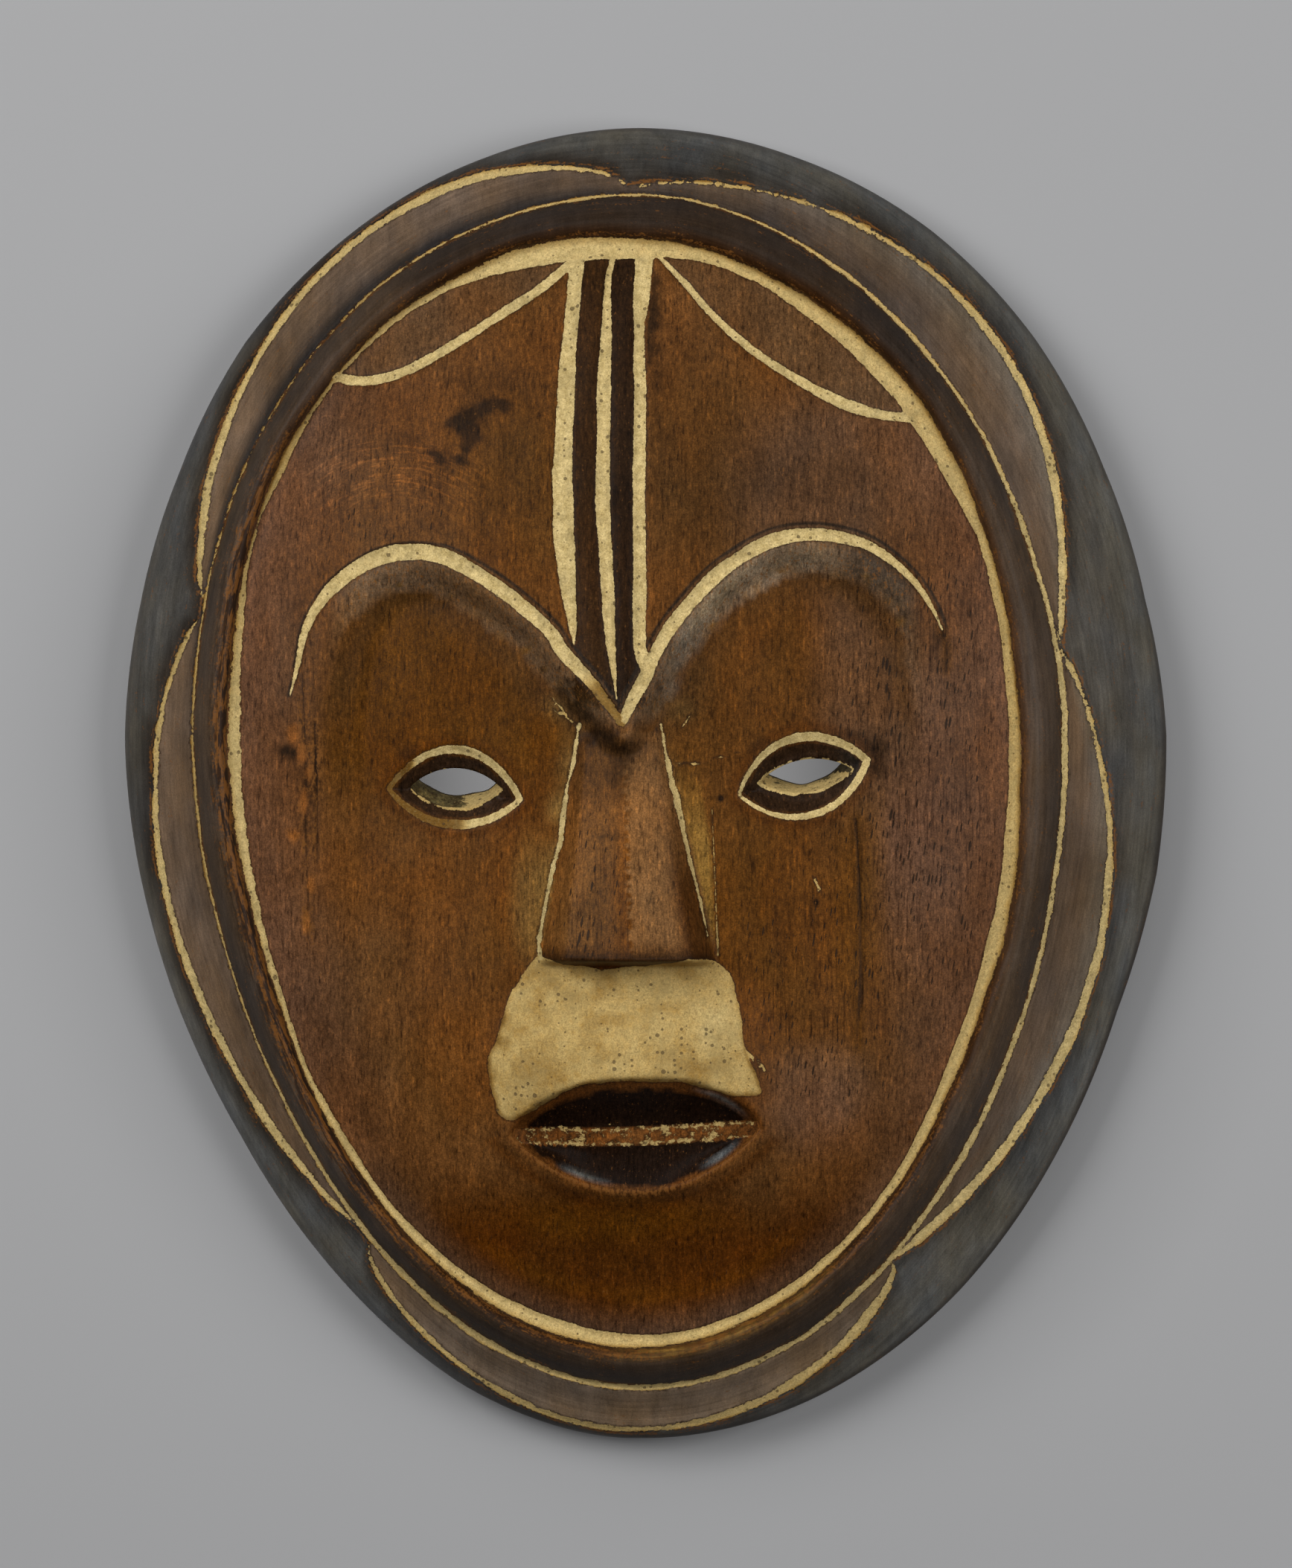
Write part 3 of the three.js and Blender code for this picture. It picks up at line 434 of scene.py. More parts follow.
def socket_drop(x, y):
    gap = nearest(socket_edge, x, y, 130.0)[0]
    gap = np.where(inside_loop(under_brows, x, y), gap, 0)
    share = ease((np.abs(x - BROW_POINT[0]) - SOCKET_TURN[0]) / (SOCKET_TURN[1] - SOCKET_TURN[0]))
    depth, bevel = blend(*SOCKET_DEPTH, share), blend(*SOCKET_BEVEL, share)
    fade = 1 - ease((SOCKET_FADE[0] - y) / (SOCKET_FADE[0] - SOCKET_FADE[1]))
    return depth * ease((gap - BROW_HALF) / bevel) * fade, gap


def nose_rise(x, y):
    along = (NOSE_ROOT_Y - y) / (NOSE_ROOT_Y - NOSE_TIP_Y)
    t = clamp(along)
    ridge = blend(*NOSE_RIDGE, t)
    base = np.where(x < ridge, blend(*NOSE_LEFT, t), blend(*NOSE_RIGHT, t))
    across = np.abs(x - ridge) / np.abs(base - ridge)
    shoulder, height = NOSE_SHOULDER
    upper = blend(1, height, across / shoulder)
    lower = height * clamp((1 - across) / (1 - shoulder))
    section = np.where(across < shoulder, upper, lower)
    crown = 0.05 * np.exp(-(across / 0.16) ** 2)
    underside = ease((y - NOSE_UNDERSIDE_Y) / (NOSE_TIP_Y - NOSE_UNDERSIDE_Y))
    rise = blend(*NOSE_RISE, t) * ease(along / 0.08) * (section - crown) * underside
    return np.where((y < NOSE_ROOT_Y) & (y > NOSE_UNDERSIDE_Y), rise, 0), across, along


def mouth_drop(x, y):
    level, v, off = almond_place(MOUTH, MOUTH_CURVES, x, y)
    sag = MOUTH_BAR_BOW * clamp(1 - v ** 2)
    above = off + sag > 0
    upper, lower = MOUTH_CURVES
    across, up = np.where(above, upper[0], lower[0]), np.where(above, upper[1], lower[1])
    edge = np.where(above, MOUTH[2], MOUTH[3]) * clamp(1 - np.abs(v) ** across) ** (1 / up)
    off_bar = np.abs(off + sag)
    reach = edge + np.where(above, 1, -1) * sag
    bar = np.minimum(MOUTH_BAR_HEIGHT / 2, reach * 0.95)
    from_bar = clamp((off_bar - bar) / np.maximum(reach - bar, 0.01))
    drop = MOUTH_DEPTH * (1 - from_bar ** MOUTH_WALL_CURVE) * np.sqrt(clamp(1 - v ** 4))
    return np.where(level < 1, drop, 0), from_bar, level, np.abs(off_bar - bar)


def mound(shape, x, y):
    x0, y0, across, up, rise = shape
    return rise * clamp(1 - ((x - x0) / across) ** 2 - ((y - y0) / up) ** 2) ** 2


print("relief: dome", DOME_HEIGHT, "mm, nose", NOSE_RISE[1], "mm above it")

# %% [markdown]
# ## Height and finish together
# Stain and paint follow the cuts, so the carving is worked out for every point of the mesh together
# with its finish: the stain, how far the point lies inside the paint, and how golden, worn, rubbed,
# porous or shiny it is. The paint is kept as a distance in millimetres. The material can then draw
# its edge sharper than the mesh, and ragged where it wore. Each step below works on this one record,
# in the order in which a carver would work.
# The stain also carries painted shade, painted shadows and painted sheen.

# %% Stains and painted shading, as the eye sees them, and the record of the carving
# Several of these stand wholly or partly for light and shade: the shadows, the sheens, the mauve, the
# umber,
# the greys of crescents and brow, the pale grey of the flank, the paler right nose facet and the nose's
# dark.
STAINS_AND_SHADING = {
    # red, green and blue, from 0 to 255
    "face": (93, 59, 29), "amber": (97, 55, 8), "umber_and_sheen": (88, 63, 46), "ochre": (84, 50, 12),
    "mauve_and_sheen": (100, 69, 52), "deep": (72, 36, 4), "socket": (84, 48, 8), "dusk": (74, 47, 20),
    "leaf": (93, 68, 46), "between_left": (50, 31, 14), "between_right": (39, 24, 12),
    "ring": (74, 60, 50), "ring_shadow": (47, 41, 39), "ring_top": (42, 32, 26),
    "ring_brown": (76, 44, 17), "ring_deep": (48, 28, 12), "crescent": (106, 86, 71),
    "crescent_sheen": (101, 90, 79), "crescent_shadow": (42, 38, 38), "flank": (79, 76, 75),
    "flank_streak_and_sheen": (94, 92, 90), "flank_top": (56, 53, 51), "flank_shadow": (40, 32, 26),
    "bevel": (106, 81, 59), "grey_sheen": (124, 105, 88), "sheen": (152, 136, 116),
    "blue_sheen": (104, 108, 114), "nose_left": (107, 69, 33), "nose_right_sheen": (125, 87, 52),
    "nose_gold": (112, 64, 14), "nose_dark_and_shade": (72, 42, 16), "upper_lip": (92, 54, 22),
    "black": (26, 15, 9), "bar": (132, 81, 38), "lid": (50, 34, 23), "lid_grey_and_sheen": (50, 46, 42),
    "smudge_and_shade": (34, 22, 12), "residue_and_shade": (124, 98, 56), "film": (116, 79, 30), "gilt": (146, 110, 52),
    "raw": (92, 66, 44), "eye_wall": (98, 86, 56),
}
FINISHES = ("paint", "gold", "wear", "rub", "pores", "gloss", "outer")
NO_PAINT = -9.0


def linear(colour):
    c = np.array(colour) / 255
    return np.where(c <= 0.04045, c / 12.92, ((c + 0.055) / 1.055) ** 2.4)


class Carving:
    """The front while it is worked: places in millimetres, height, stain with painted shading, and finish.
    """

    def __init__(self, x, y):
        self.x, self.y = x, y
        self.angle, self.radius = polar(x, y)
        self.outline = outline_radius(self.angle)
        self.from_thin = self.radius - thin_line_radius(self.angle)
        self.from_thick = self.radius - thick_line_radius(self.angle)
        self.bulge, self.crescent_line = crescent_at(self.angle)
        self.uneven = 1 + 0.2 * ripple(x, y, 8.0, 1) + 0.05 * ripple(x, y, 2.2, 2)
        self.waver = 0.2 * ripple(x, y, 11.0, 3) + 0.06 * ripple(x, y, 3.0, 4)
        self.side, self.up = np.sin(self.angle), np.cos(self.angle)
        self.left, self.low = ease(-self.side * 1.5), ease(-self.up * 1.6 - 0.3)
        self.high = ease(self.up * 2.2 - 1.0)
        self.z = np.zeros(len(x))
        self.stain_and_shading = np.tile(linear(STAINS_AND_SHADING["face"]), (len(x), 1))
        self.finish = {name: np.zeros(len(x)) for name in FINISHES}
        self.finish["paint"] += NO_PAINT

    def tint(self, name, share):
        self.stain_and_shading = blend(self.stain_and_shading, linear(STAINS_AND_SHADING[name]), clamp(share)[:, None])

    def coats(self, area, *stains):
        """Stains and painted light and shade laid one over another in an area, each with its share."""
        for name, share in stains:
            self.tint(name, area * share)

    def lay_paint(self, area, inside, gold, wear):
        """Paint in an area, where it reaches deeper inside its edge than the paint laid before."""
        inside = np.where(area, inside, NO_PAINT)
        above = inside > self.finish["paint"]
        for name, value in (("paint", inside), ("gold", gold), ("wear", wear)):
            self.finish[name] = np.where(above, value, self.finish[name])

    def at_least(self, name, value):
        self.finish[name] = np.maximum(self.finish[name], value)


def spot(c, x, y, across, up, core=1.0):
    """An oval spot: 1 in its middle and 0 where core times its size is reached."""
    return ease(core - np.hypot((c.x - x) / across, (c.y - y) / up))


def facing(c, degrees, narrow, start):
    """1 in a direction, in degrees clockwise from the top, fading to both sides of it."""
    return ease(np.cos(c.angle - math.radians(degrees)) * narrow - start)


print(len(STAINS_AND_SHADING), "stains")

# %% [markdown]
# ## Dome, roll and crescents
# The block is first rounded to a dome. Then two ovals are cut and the wood between them rounded to a
# roll that leans inwards, and the crescents are scooped outside it. The paint in these lines is not
# the same all round: it is bright where nothing touched it, golden and thin where hands held the
# mask, and nearly gone on the upper left. So width, gold and wear are listed in even steps clockwise
# from the top, as one would note them down while going round the mask.

# %% Dome and the three rings of lines
THIN_LINE_WIDTHS = (
    1.0, 1.0, 1.6, 1.3, 1.5, 1.7, 1.7, 1.5, 1.5, 1.8, 2.0, 1.8,
    1.6, 2.1, 1.7, 0.9, 0.8, 0.9, 1.0, 1.0, 0.8, 0.7, 0.9, 1.0,
)
THIN_LINE_GOLD = (
    0.6, 0.6, 0.5, 0.35, 0.15, 0.0, 0.0, 0.05, 0.15, 0.0, 0.0, 0.15,
    0.35, 0.35, 0.3, 0.45, 0.6, 0.75, 0.8, 0.75, 0.85, 0.9, 0.8, 0.65,
)
THIN_LINE_WEAR = (
    0.2, 0.2, 0.25, 0.25, 0.2, 0.1, 0.05, 0.15, 0.3, 0.15, 0.15, 0.2,
    0.1, 0.1, 0.15, 0.15, 0.2, 0.2, 0.2, 0.3, 0.5, 0.5, 0.3, 0.2,
)
THICK_LINE_GOLD = (
    0.3, 0.5, 0.4, 0.4, 0.45, 0.6, 0.6, 0.5, 0.45, 0.4, 0.35, 0.4,
    0.35, 0.3, 0.25, 0.35, 0.3, 0.25, 0.15, 0.45, 0.75, 0.75, 0.5, 0.2,
)
THICK_LINE_WEAR = (0.15, 0.25, 0.1, 0.1, 0.1, 0.55, 0.3)
CRESCENT_GOLD = (
    0.6, 0.8, 0.6, 0.3, 0.2, 0.15, 0.5, 0.25, 0.1, 0.1, 0.2, 0.45,
    0.5, 0.5, 0.4, 0.2, 0.15, 0.3, 0.55, 0.6, 0.25, 0.4, 0.4, 0.35,
)
CRESCENT_WEAR = (
    0.75, 0.85, 0.5, 0.2, 0.15, 0.2, 0.6, 0.3, 0.2, 0.15, 0.15, 0.4,
    0.2, 0.25, 0.3, 0.15, 0.15, 0.15, 0.3, 0.5, 0.2, 0.15, 0.2, 0.2,
)


def carve_rings(c):
    share = clamp(c.radius / c.outline)
    c.z += EDGE_HEIGHT + (DOME_HEIGHT - EDGE_HEIGHT) * (1 - share ** 2) ** DOME_ROUNDNESS
    c.in_crescent = (c.bulge > 0.3) & (c.from_thin > 0) & (c.from_thin < c.bulge)
    c.across_crescent = clamp(c.from_thin / np.maximum(c.bulge, 0.3))
    scoop = CRESCENT_SCOOP * np.sin(np.pi * c.across_crescent ** CRESCENT_LEAN)
    c.z -= c.in_crescent * scoop * clamp(c.bulge / 8)
    half_thin = around(THIN_LINE_WIDTHS, c.angle) / 2 * c.uneven
    half_crescent = c.crescent_line / 2 * c.uneven * clamp(c.bulge / 2.5)
    half_thick = around(THICK_LINE_WIDTHS, c.angle) / 2 * (0.4 + 0.6 * c.uneven)
    off_thin, off_crescent = c.from_thin + c.waver, c.from_thin - c.bulge + c.waver
    off_thick = c.from_thick + c.waver
    c.z -= cut(LINE_DEPTH, half_thin, off_thin) + cut(LINE_DEPTH, half_thick, off_thick)
    c.z -= cut(LINE_DEPTH, half_crescent, off_crescent) * (c.bulge > 1)
    ring_start = c.radius - off_thick + half_thick
    ring_end = c.radius - off_thin - half_thin
    c.across = clamp((c.radius - ring_start) / (ring_end - ring_start))
    c.z += RING_RISE * np.sin(np.pi * c.across ** RING_LEAN) ** 0.92
    c.in_ring = (c.across > 0) & (c.across < 1)
    c.outside = c.from_thin > 0
    c.face = c.radius < ring_start
    c.inward = ring_start - c.radius
    c.on_flank = c.outside & ~c.in_crescent
    c.z += c.on_flank * 0.3 * ripple(c.x, c.y, 16.0, 10) * clamp((c.outline - c.radius) / 6)
    c.z += c.in_crescent * 0.2 * ripple(c.x, c.y, 9.0, 11)
    for area, half, off, golds, wears in (
            (True, half_thin, off_thin, THIN_LINE_GOLD, THIN_LINE_WEAR),
            (c.bulge > 0.6, half_crescent, off_crescent, CRESCENT_GOLD, CRESCENT_WEAR),
            (True, half_thick, off_thick, THICK_LINE_GOLD, THICK_LINE_WEAR)):
        outer_edge = ease((off / np.maximum(half, 0.1) - 0.3) / 0.6)
        worn = around(wears, c.angle) + 0.12 * outer_edge + 0.12 * ripple(c.x, c.y, 16.0, 7)
        c.lay_paint(area, half - np.abs(off), around(golds, c.angle) + 0.6 * outer_edge, worn)
    c.beyond_thick = off_thick - half_thick
    c.before_thin = -off_thin - half_thin
    c.beyond_lines = np.where(c.bulge > 1, off_crescent - half_crescent, off_thin - half_thin)


print("lines listed every", 360 // len(THIN_LINE_WIDTHS), "degrees")

# %% Stain, painted shade and painted sheen on the roll, the crescents and the flank
def stain_and_shading_roll(c):
    ring, up, left = c.in_ring, c.up, c.left
    lower_edge = np.maximum(left * ease((0.74 - up) / 0.25), 0.5 * ease(-up * 3.2 - 1.9))
    gilded = ease(-up * 6 - 4.6) * ease((c.x + 18) / 26) * ease((56 - c.x) / 22)
    gilding = 0.42 + 0.35 * ripple(c.x, c.y / 4, 0.8, 48)
    # Painted shade on the outer half of the roll; the roll is also darker at the top and at the bottom.
    c.coats(ring,
            ("ring", 1.0),
            ("ring_shadow", ease((c.across - 0.5) / 0.3) * (0.35 + 0.2 * left)),
            ("ring_top", c.high * 0.85),
            ("ring_top", ease(-up * 5 - 3.9) * 0.6),
            ("ring_brown", ease(1 - c.across / (0.3 + 0.25 * left)) * 0.6),
            ("ring_deep", ease(1.2 - c.across / 0.35) * np.maximum(c.low, c.high) * 0.85),
            ("gilt", gilded * ease(1.25 - c.beyond_thick / 3.4) * gilding),
            ("ring", spot(c, -76, 118, 26, 26, 1.2) * 0.5),
            ("ring", spot(c, -113, 8, 22, 55, 1.2) * 0.25),
            ("ring_top", c.high * ease(1.2 - np.abs(c.x + 5) / 30) * 0.3))
    rubbed_low = near(c.beyond_thick, 0.7, 1.5 + 4.4 * lower_edge) * (0.38 + 0.54 * lower_edge)
    c.at_least("rub", ring * rubbed_low)
    c.at_least("rub", ring * ease(1 - c.before_thin / 1.2) * 0.4)
    c.finish["pores"] = np.where(ring, lower_edge * ease(1.25 - c.beyond_thick / 5.5), 0.0)
    c.finish["gloss"] = np.where(ring, 0.55, np.where(c.outside, 0.25, 0.0))
    c.finish["outer"] = np.where(c.face, 0.0, 1.0)


def stain_and_shading_crescents(c):
    across = c.across_crescent
    top_left, first_part = facing(c, -42, 2.2, 1.1), facing(c, 8, 5, 4.1)
    # Painted sheen: the paler grey on the outer part of the crescents on the right, and on the lowest
    # crescent. The rest is their stain and painted shadow.
    c.coats(c.in_crescent,
            ("crescent", 1.0),
            ("crescent_sheen", ease(across * 1.8 - 0.7) * ease(c.side * 1.6 + 0.1) * 0.85),
            ("crescent_shadow", first_part * (0.8 - 0.5 * across)),
            ("crescent_shadow", ease(1.1 - across / 0.42) * (0.2 + 0.8 * top_left) * (1 - 0.7 * c.low)),
            ("crescent_shadow", ease(1 - c.bulge / 5.5) * (0.7 - 0.5 * c.low)),
            ("crescent_shadow", ease(0.6 + 0.9 * ripple(c.x, c.y, 22.0, 30)) * 0.15),
            ("crescent_shadow", spot(c, -88, 119, 24, 24, 1.2) * 0.3),
            ("grey_sheen", ease(-c.up * 4 - 3.2) * 0.6))


def stain_and_shading_flank(c):
    edge = c.outline - c.radius
    sheen_band = (0.4 + 0.15 * ease(c.side * 2)) * (1 - 0.6 * c.high)
    under_line = 0.5 + 0.35 * c.left + 0.25 * c.high
    # The flank's grey is dark paint with part of its sheen painted in. Painted sheen: a paler band near
    # the
    # fine brush streaks. Painted shadow: a dark edge at the outline except on the left, and dark bands
    # beside
    # outline, stronger on the right, the paler lower flank and a band at the top right; the last row
    # lightens
    # the cut lines. The flank is also darker towards the top and at about 280 degrees.
    c.coats(c.on_flank,
            ("flank", 1.0),
            ("flank_top", ease(c.up * 1.8 - 0.5) * 0.95),
            ("flank_streak_and_sheen", near(edge, 5.0, 6.0) * sheen_band),
            ("flank_streak_and_sheen", ease(-c.up * 2.4 - 0.3) * 0.5),
            ("flank_shadow", ease(1 - (edge - 0.5) / 1.6) * ease(c.side * 2 + 0.9) * 0.9),
            ("flank_top", facing(c, -78, 8, 6.6) * 0.5),
            ("flank_streak_and_sheen", near(edge, 2.0, 3.6) * facing(c, 34, 3, 1.5) * 0.6),
            ("flank_shadow", ease(1 - (c.beyond_lines - 0.8) / 4.6) * under_line),
            ("flank_streak_and_sheen", ease(0.4 + 1.2 * ripple(c.angle * 40, c.from_thin, 3.0, 39)) * 0.12))
    rubbed = ease(1 - c.beyond_lines / 1.5) * (0.8 + 0.2 * ripple(c.x, c.y, 7.0, 38))
    c.at_least("rub", (c.beyond_lines > 0) * rubbed)


print("roll, crescents and flank stained")

# %% [markdown]
# ## The face
# Just inside the roll the face dips, and under the brows two sockets are hollowed. The lips stand on
# a low mound and the chin is hollowed below it. The flat wood is never quite flat: a hand tool
# leaves it slightly waved, which the light picks out. The stain is amber in the middle and darkens
# towards the chin. Towards the border a mauve and grey sheen is painted in.

# %% Face forms and their stain, with painted sheen and shade
# The two bevel rows, on the right cheek and beside the mouth on the right, paint a sheen.
FACE_TINTS = (
    # stain, x, y, across, up, strength
    ("dusk", 14, 80, 24, 40, 0.85), ("ochre", -32, 78, 24, 36, 0.75), ("umber_and_sheen", 46, 76, 30, 34, 0.8),
    ("dusk", -40, 78, 18, 26, 0.4), ("ochre", -66, 6, 18, 22, 0.5), ("ochre", -27, 2, 9, 24, 0.4),
    ("ochre", 34, -24, 20, 38, 0.6), ("ochre", 53, -34, 8, 34, 0.9), ("bevel", 72, 4, 15, 42, 0.3),
    ("bevel", 44, -78, 16, 14, 0.45), ("amber", -8, -112, 44, 10, 0.8),
    ("ring_deep", 2, -126, 34, 10, 0.5), ("residue_and_shade", -29, -30, 7, 22, 0.5),
)


def carve_face(c):
    x, y = c.x, c.y
    depth, start, end = FACE_DIP
    c.z -= c.face * depth * (1 - np.exp(-c.inward / start)) * np.exp(-c.inward / end)
    sockets, c.from_brow = socket_drop(x, y)
    c.z += c.face * (mound(MUZZLE, x, y) - mound(CHIN_HOLLOW, x, y) - sockets)
    c.z += c.face * (0.24 * ripple(x, y, 11.0, 8) + 0.07 * ripple(x, y, 4.0, 9))


def wide_spot(c, x, y, across, up):
    """A spot with a full middle."""
    return spot(c, x, y, across / 1.2, up / 1.2, 1.3)


def stain_and_shading_face(c):
    x, y = c.x, c.y
    c.coats(c.face,
            ("amber", spot(c, -4, -34, 86, 62) * 0.85),
            ("amber", ease(0.5 + 0.8 * ripple(x, y, 24.0, 31)) * 0.3))
    for name, sx, sy, across, up, share in FACE_TINTS:
        c.tint(name, c.face * wide_spot(c, sx, sy, across, up) * share)
    # Painted sheen: the mauve band inside the roll at the sides, the mauve beside the mouth, and the grey
    # along the inside of the roll at the bottom. The mauve on the right cheek is partly the wood's tone
    # and
    # partly painted sheen. The face also darkens towards the chin, and the roll's painted shade reaches
    # in.
    c.coats(c.face,
            ("mauve_and_sheen", ease(1 - c.inward / 30) * ease(np.abs(c.side) * 1.5 - 0.35) * 0.8),
            ("mauve_and_sheen", spot(c, 70, -8, 28, 66) * ease((x - 57) / 7) * 0.9),
            ("mauve_and_sheen", spot(c, 44, -82, 22, 20) * 0.7),
            ("deep", ease((-96 - y) / 24) * 0.92),
            ("amber", wide_spot(c, -8, -112, 34, 7) * 0.65),
            ("umber_and_sheen", ease((-88 - y) / 24) * ease(1.2 - c.inward / 10.5) * 0.75),
            ("ring_shadow", ease((-114 - y) / 10) * ease(1.2 - c.inward / 8) * 0.38),
            ("amber", near(c.inward, 13 + ripple(x, y, 12.0, 47), 3.5) * ease((-108 - y) / 14) * 0.35))


print("face forms and stain set out")

# %% Stain, painted shade and painted sheen under the brows; stain between the stripes and in the leaves
def stain_and_shading_sockets(c):
    x, y, from_brow = c.x, c.y, c.from_brow
    below = c.face * (from_brow > 0.1)
    tails = ease((x + 83) / 10) * ease((72 - x) / 8)
    band = 9.4 - 3.2 * near(x, BROW_POINT[0], 34) + 0.7 * ripple(x, y, 4.0, 32)
    c.bevel = below * ease(1 - (from_brow - band + 1.2) / 2.2) * ease((y - 12) / 8) * tails
    socket = ease((from_brow - 6) / 8) * ease((y + 14) / 26)
    fold_shadow = ease((from_brow - 8.5) / 2) * ease(1 - (from_brow - 12) / 7)
    nicks = ripple(x, y / 3.2, 0.75, 46)
    # Below the band: the socket's stain, the right socket greyer and paler partly as painted sheen, and a
    # painted shadow along the fold under the band.
    c.coats(below,
            ("socket", socket * np.where(x < 6, 0.95, 0.5)),
            ("umber_and_sheen", socket * ease((x - 38) / 14) * 0.7),
            ("dusk", fold_shadow * ease((y - 8) / 16) * 0.7))
    # The band under the brows is coloured paler than its dark paint, partly as painted sheen; on the right
    # brow it carries a painted grey sheen and two painted highlights, and its right tail is darker grey.
    c.coats(c.bevel,
            ("bevel", 0.95),
            ("grey_sheen", ease(x / 12) * ease((56 - x) / 16) * 0.9),
            ("sheen", near(from_brow, band - 3.6, 2.6) * near(x, 38, 16) * 0.3),
            ("lid_grey_and_sheen", ease((x - 46) / 12) * 0.6),
            ("smudge_and_shade", ease(nicks * 1.6 - 0.35) * near(from_brow, band - 3.4, 3.0) * 0.6),
            ("film", ease(-nicks * 1.6 - 0.5) * near(from_brow, band - 1.0, 2.2) * 0.8),
            ("sheen", near(from_brow, 4.2, 3.2) * near(x, 19, 17) * 0.85))
    # Painted shade: a dark line just under the cut of the brow.
    c.tint("dusk", below * near(from_brow, 2.0, 1.2) * ease((y - 12) / 8) * tails * 0.6)
    c.at_least("rub", c.bevel * 0.3)
    c.finish["gloss"] = np.where(c.bevel > 0.3, 0.45, c.finish["gloss"])


def stain_forehead(c):
    x, y, face = c.x, c.y, c.face
    for leaf, sign in zip(leaves, (-1, 1)):
        edge = np.interp(x, *leaf[np.argsort(leaf[:, 0])][:, :2].T)
        in_leaf = face & (y > edge) & ((x - STRIPES_X) * sign > STRIPES_HALF)
        c.tint("leaf", in_leaf * (0.55 + 0.35 * ripple(x, y, 20.0, 33)))
    lanes = [np.interp(y, line[::-1, 1], line[::-1, 0]) for line in stripes]
    for name, left, right in (("between_left", *lanes[:2]), ("between_right", *lanes[1:])):
        lane = (face & (x > left) & (x < right)) * ease((y - STRIPES_END_Y) / 4)
        c.tint(name, lane)
        c.z += lane * 0.7 * np.sin(np.pi * clamp((x - left) / np.maximum(right - left, 1)))


def scatter_pores(c):
    """How much the pores of the wood show, most of all on the right cheek."""
    right_cheek = ease((c.x - 42) / 22) * near(c.y, 2, 78) * ease((92 - c.x) / 12)
    left_side, low_cheek = spot(c, -62, 66, 34, 40), spot(c, 44, -56, 24, 36, 1.25)
    c.at_least("pores", c.face * (0.14 + 0.86 * right_cheek + 0.25 * left_side + 0.4 * low_cheek))
    c.finish["pores"] *= 1 - 0.8 * c.bevel


print("sockets, leaves and lanes set out")

# %% [markdown]
# ## Nose, mouth and eyes
# The nose is cut as two facets with a sharp ridge. The left one is brown and porous; the right one is
# painted paler as its sheen, with painted shade in a triangle low down where it turns away. Paint was
# scraped off beside it and left a golden film, and a shadow is painted under the nose. The mouth is
# stained black inside, with painted highlights on its rim, and its bar kept only flecks of paint. Round
# each eye a painted band borders a dark bevel, whose corners are painted darker as shade.

# %% Nose and mouth
# Painted highlights on the rim inside the mouth: x, y, across, up, strength
MOUTH_SHEENS = (
    (19.0, -81.5, 9.0, 6.0, 0.75), (21.5, -96.0, 8.0, 5.0, 0.8), (-19.0, -101.0, 8.0, 4.0, 0.7),
    (-13.0, -103.0, 5.0, 3.0, 0.4),
)


def carve_nose(c):
    x, y = c.x, c.y
    nose, across, along = nose_rise(x, y)
    c.z += c.face * nose
    on_nose = c.face & (nose > 0.2) & (across < 1)
    ridge = blend(*NOSE_RIDGE, clamp(along))
    left, right = on_nose & (x < ridge), on_nose & (x >= ridge)
    # On the left facet the dark is patchy wood.
    c.coats(left,
            ("nose_left", 0.95),
            ("nose_gold", ease(1 - across / 0.3) * ease(along * 2.2 - 0.5) * 0.9),
            ("nose_dark_and_shade", ease(0.3 + 1.1 * ripple(x, y, 9.0, 40)) * 0.45))
    # The right facet is painted paler as its sheen, with painted shade low down on its outer part where it
    # turns away.
    c.coats(right,
            ("nose_right_sheen", 0.95),
            ("nose_dark_and_shade", ease((across - 0.5) / 0.22) * ease(along * 1.8 - 0.3) * 0.95))
    # Darker towards the root; painted shade where the tip rounds under, and a painted shadow at its edge.
    c.coats(on_nose,
            ("nose_dark_and_shade", ease(1 - along / 0.32) * 0.5),
            ("nose_dark_and_shade", ease((along - 0.9) / 0.08) * 0.7),
            ("black", ease((along - 0.955) / 0.04) * 0.6))
    low_left = left * ease(1.3 - np.abs(across - 0.5) / 0.4) * ease(1.2 - np.abs(along - 0.72) / 0.35)
    c.finish["pores"] = np.where(on_nose, 0.15 + 0.75 * low_left, c.finish["pores"])
    stain_and_shading_beside_nose(c, on_nose, across)


def stain_and_shading_beside_nose(c, on_nose, across):
    """The golden film left where paint was scraped off, and the shadow under the nose."""
    x, y = c.x, c.y
    film = 0.6 + 0.5 * ripple(x, y, 6.0, 34)
    left_gap, right_gap = nearest(nose_edges[0], x, y)[0], nearest(nose_edges[1], x, y)[0]
    beside = ~on_nose * near(y, -14, 42) * film
    facet_side = np.interp(y, (-45.0, -16.0, 8.0), (18.4, 17.2, 13.5))
    strip = ease((across - 1) / 0.06) * (x > 4) * (y > -45.5)
    strip = strip * ease((facet_side - x) / 1.6) * ease((12 - y) / 30)
    flare = spot(c, -20, 20, 9, 6) + spot(c, 8, 19, 8, 5)
    # Painted shadow under the nose: a dark line, and an olive band on the patch below it. The rest is
    # residue and golden film.
    c.coats(c.face,
            ("deep", near(y, -46.6, 2.0) * (x > -29) * (x < 19.5) * 0.85),
            ("residue_and_shade", near(y, -48.8, 1.3) * (x > -26) * (x < 17) * 0.7),
            ("residue_and_shade", beside * (x < -12) * ease(1 - left_gap / 6.5)),
            ("residue_and_shade", beside * (x > 3) * ease(1 - right_gap / 3.5) * 0.7),
            ("film", strip * (0.75 + 0.2 * film)),
            ("gilt", strip * ease((10 - y) / 40) * (0.5 + 0.35 * film)),
            ("residue_and_shade", flare * ~on_nose * 0.4 * film))


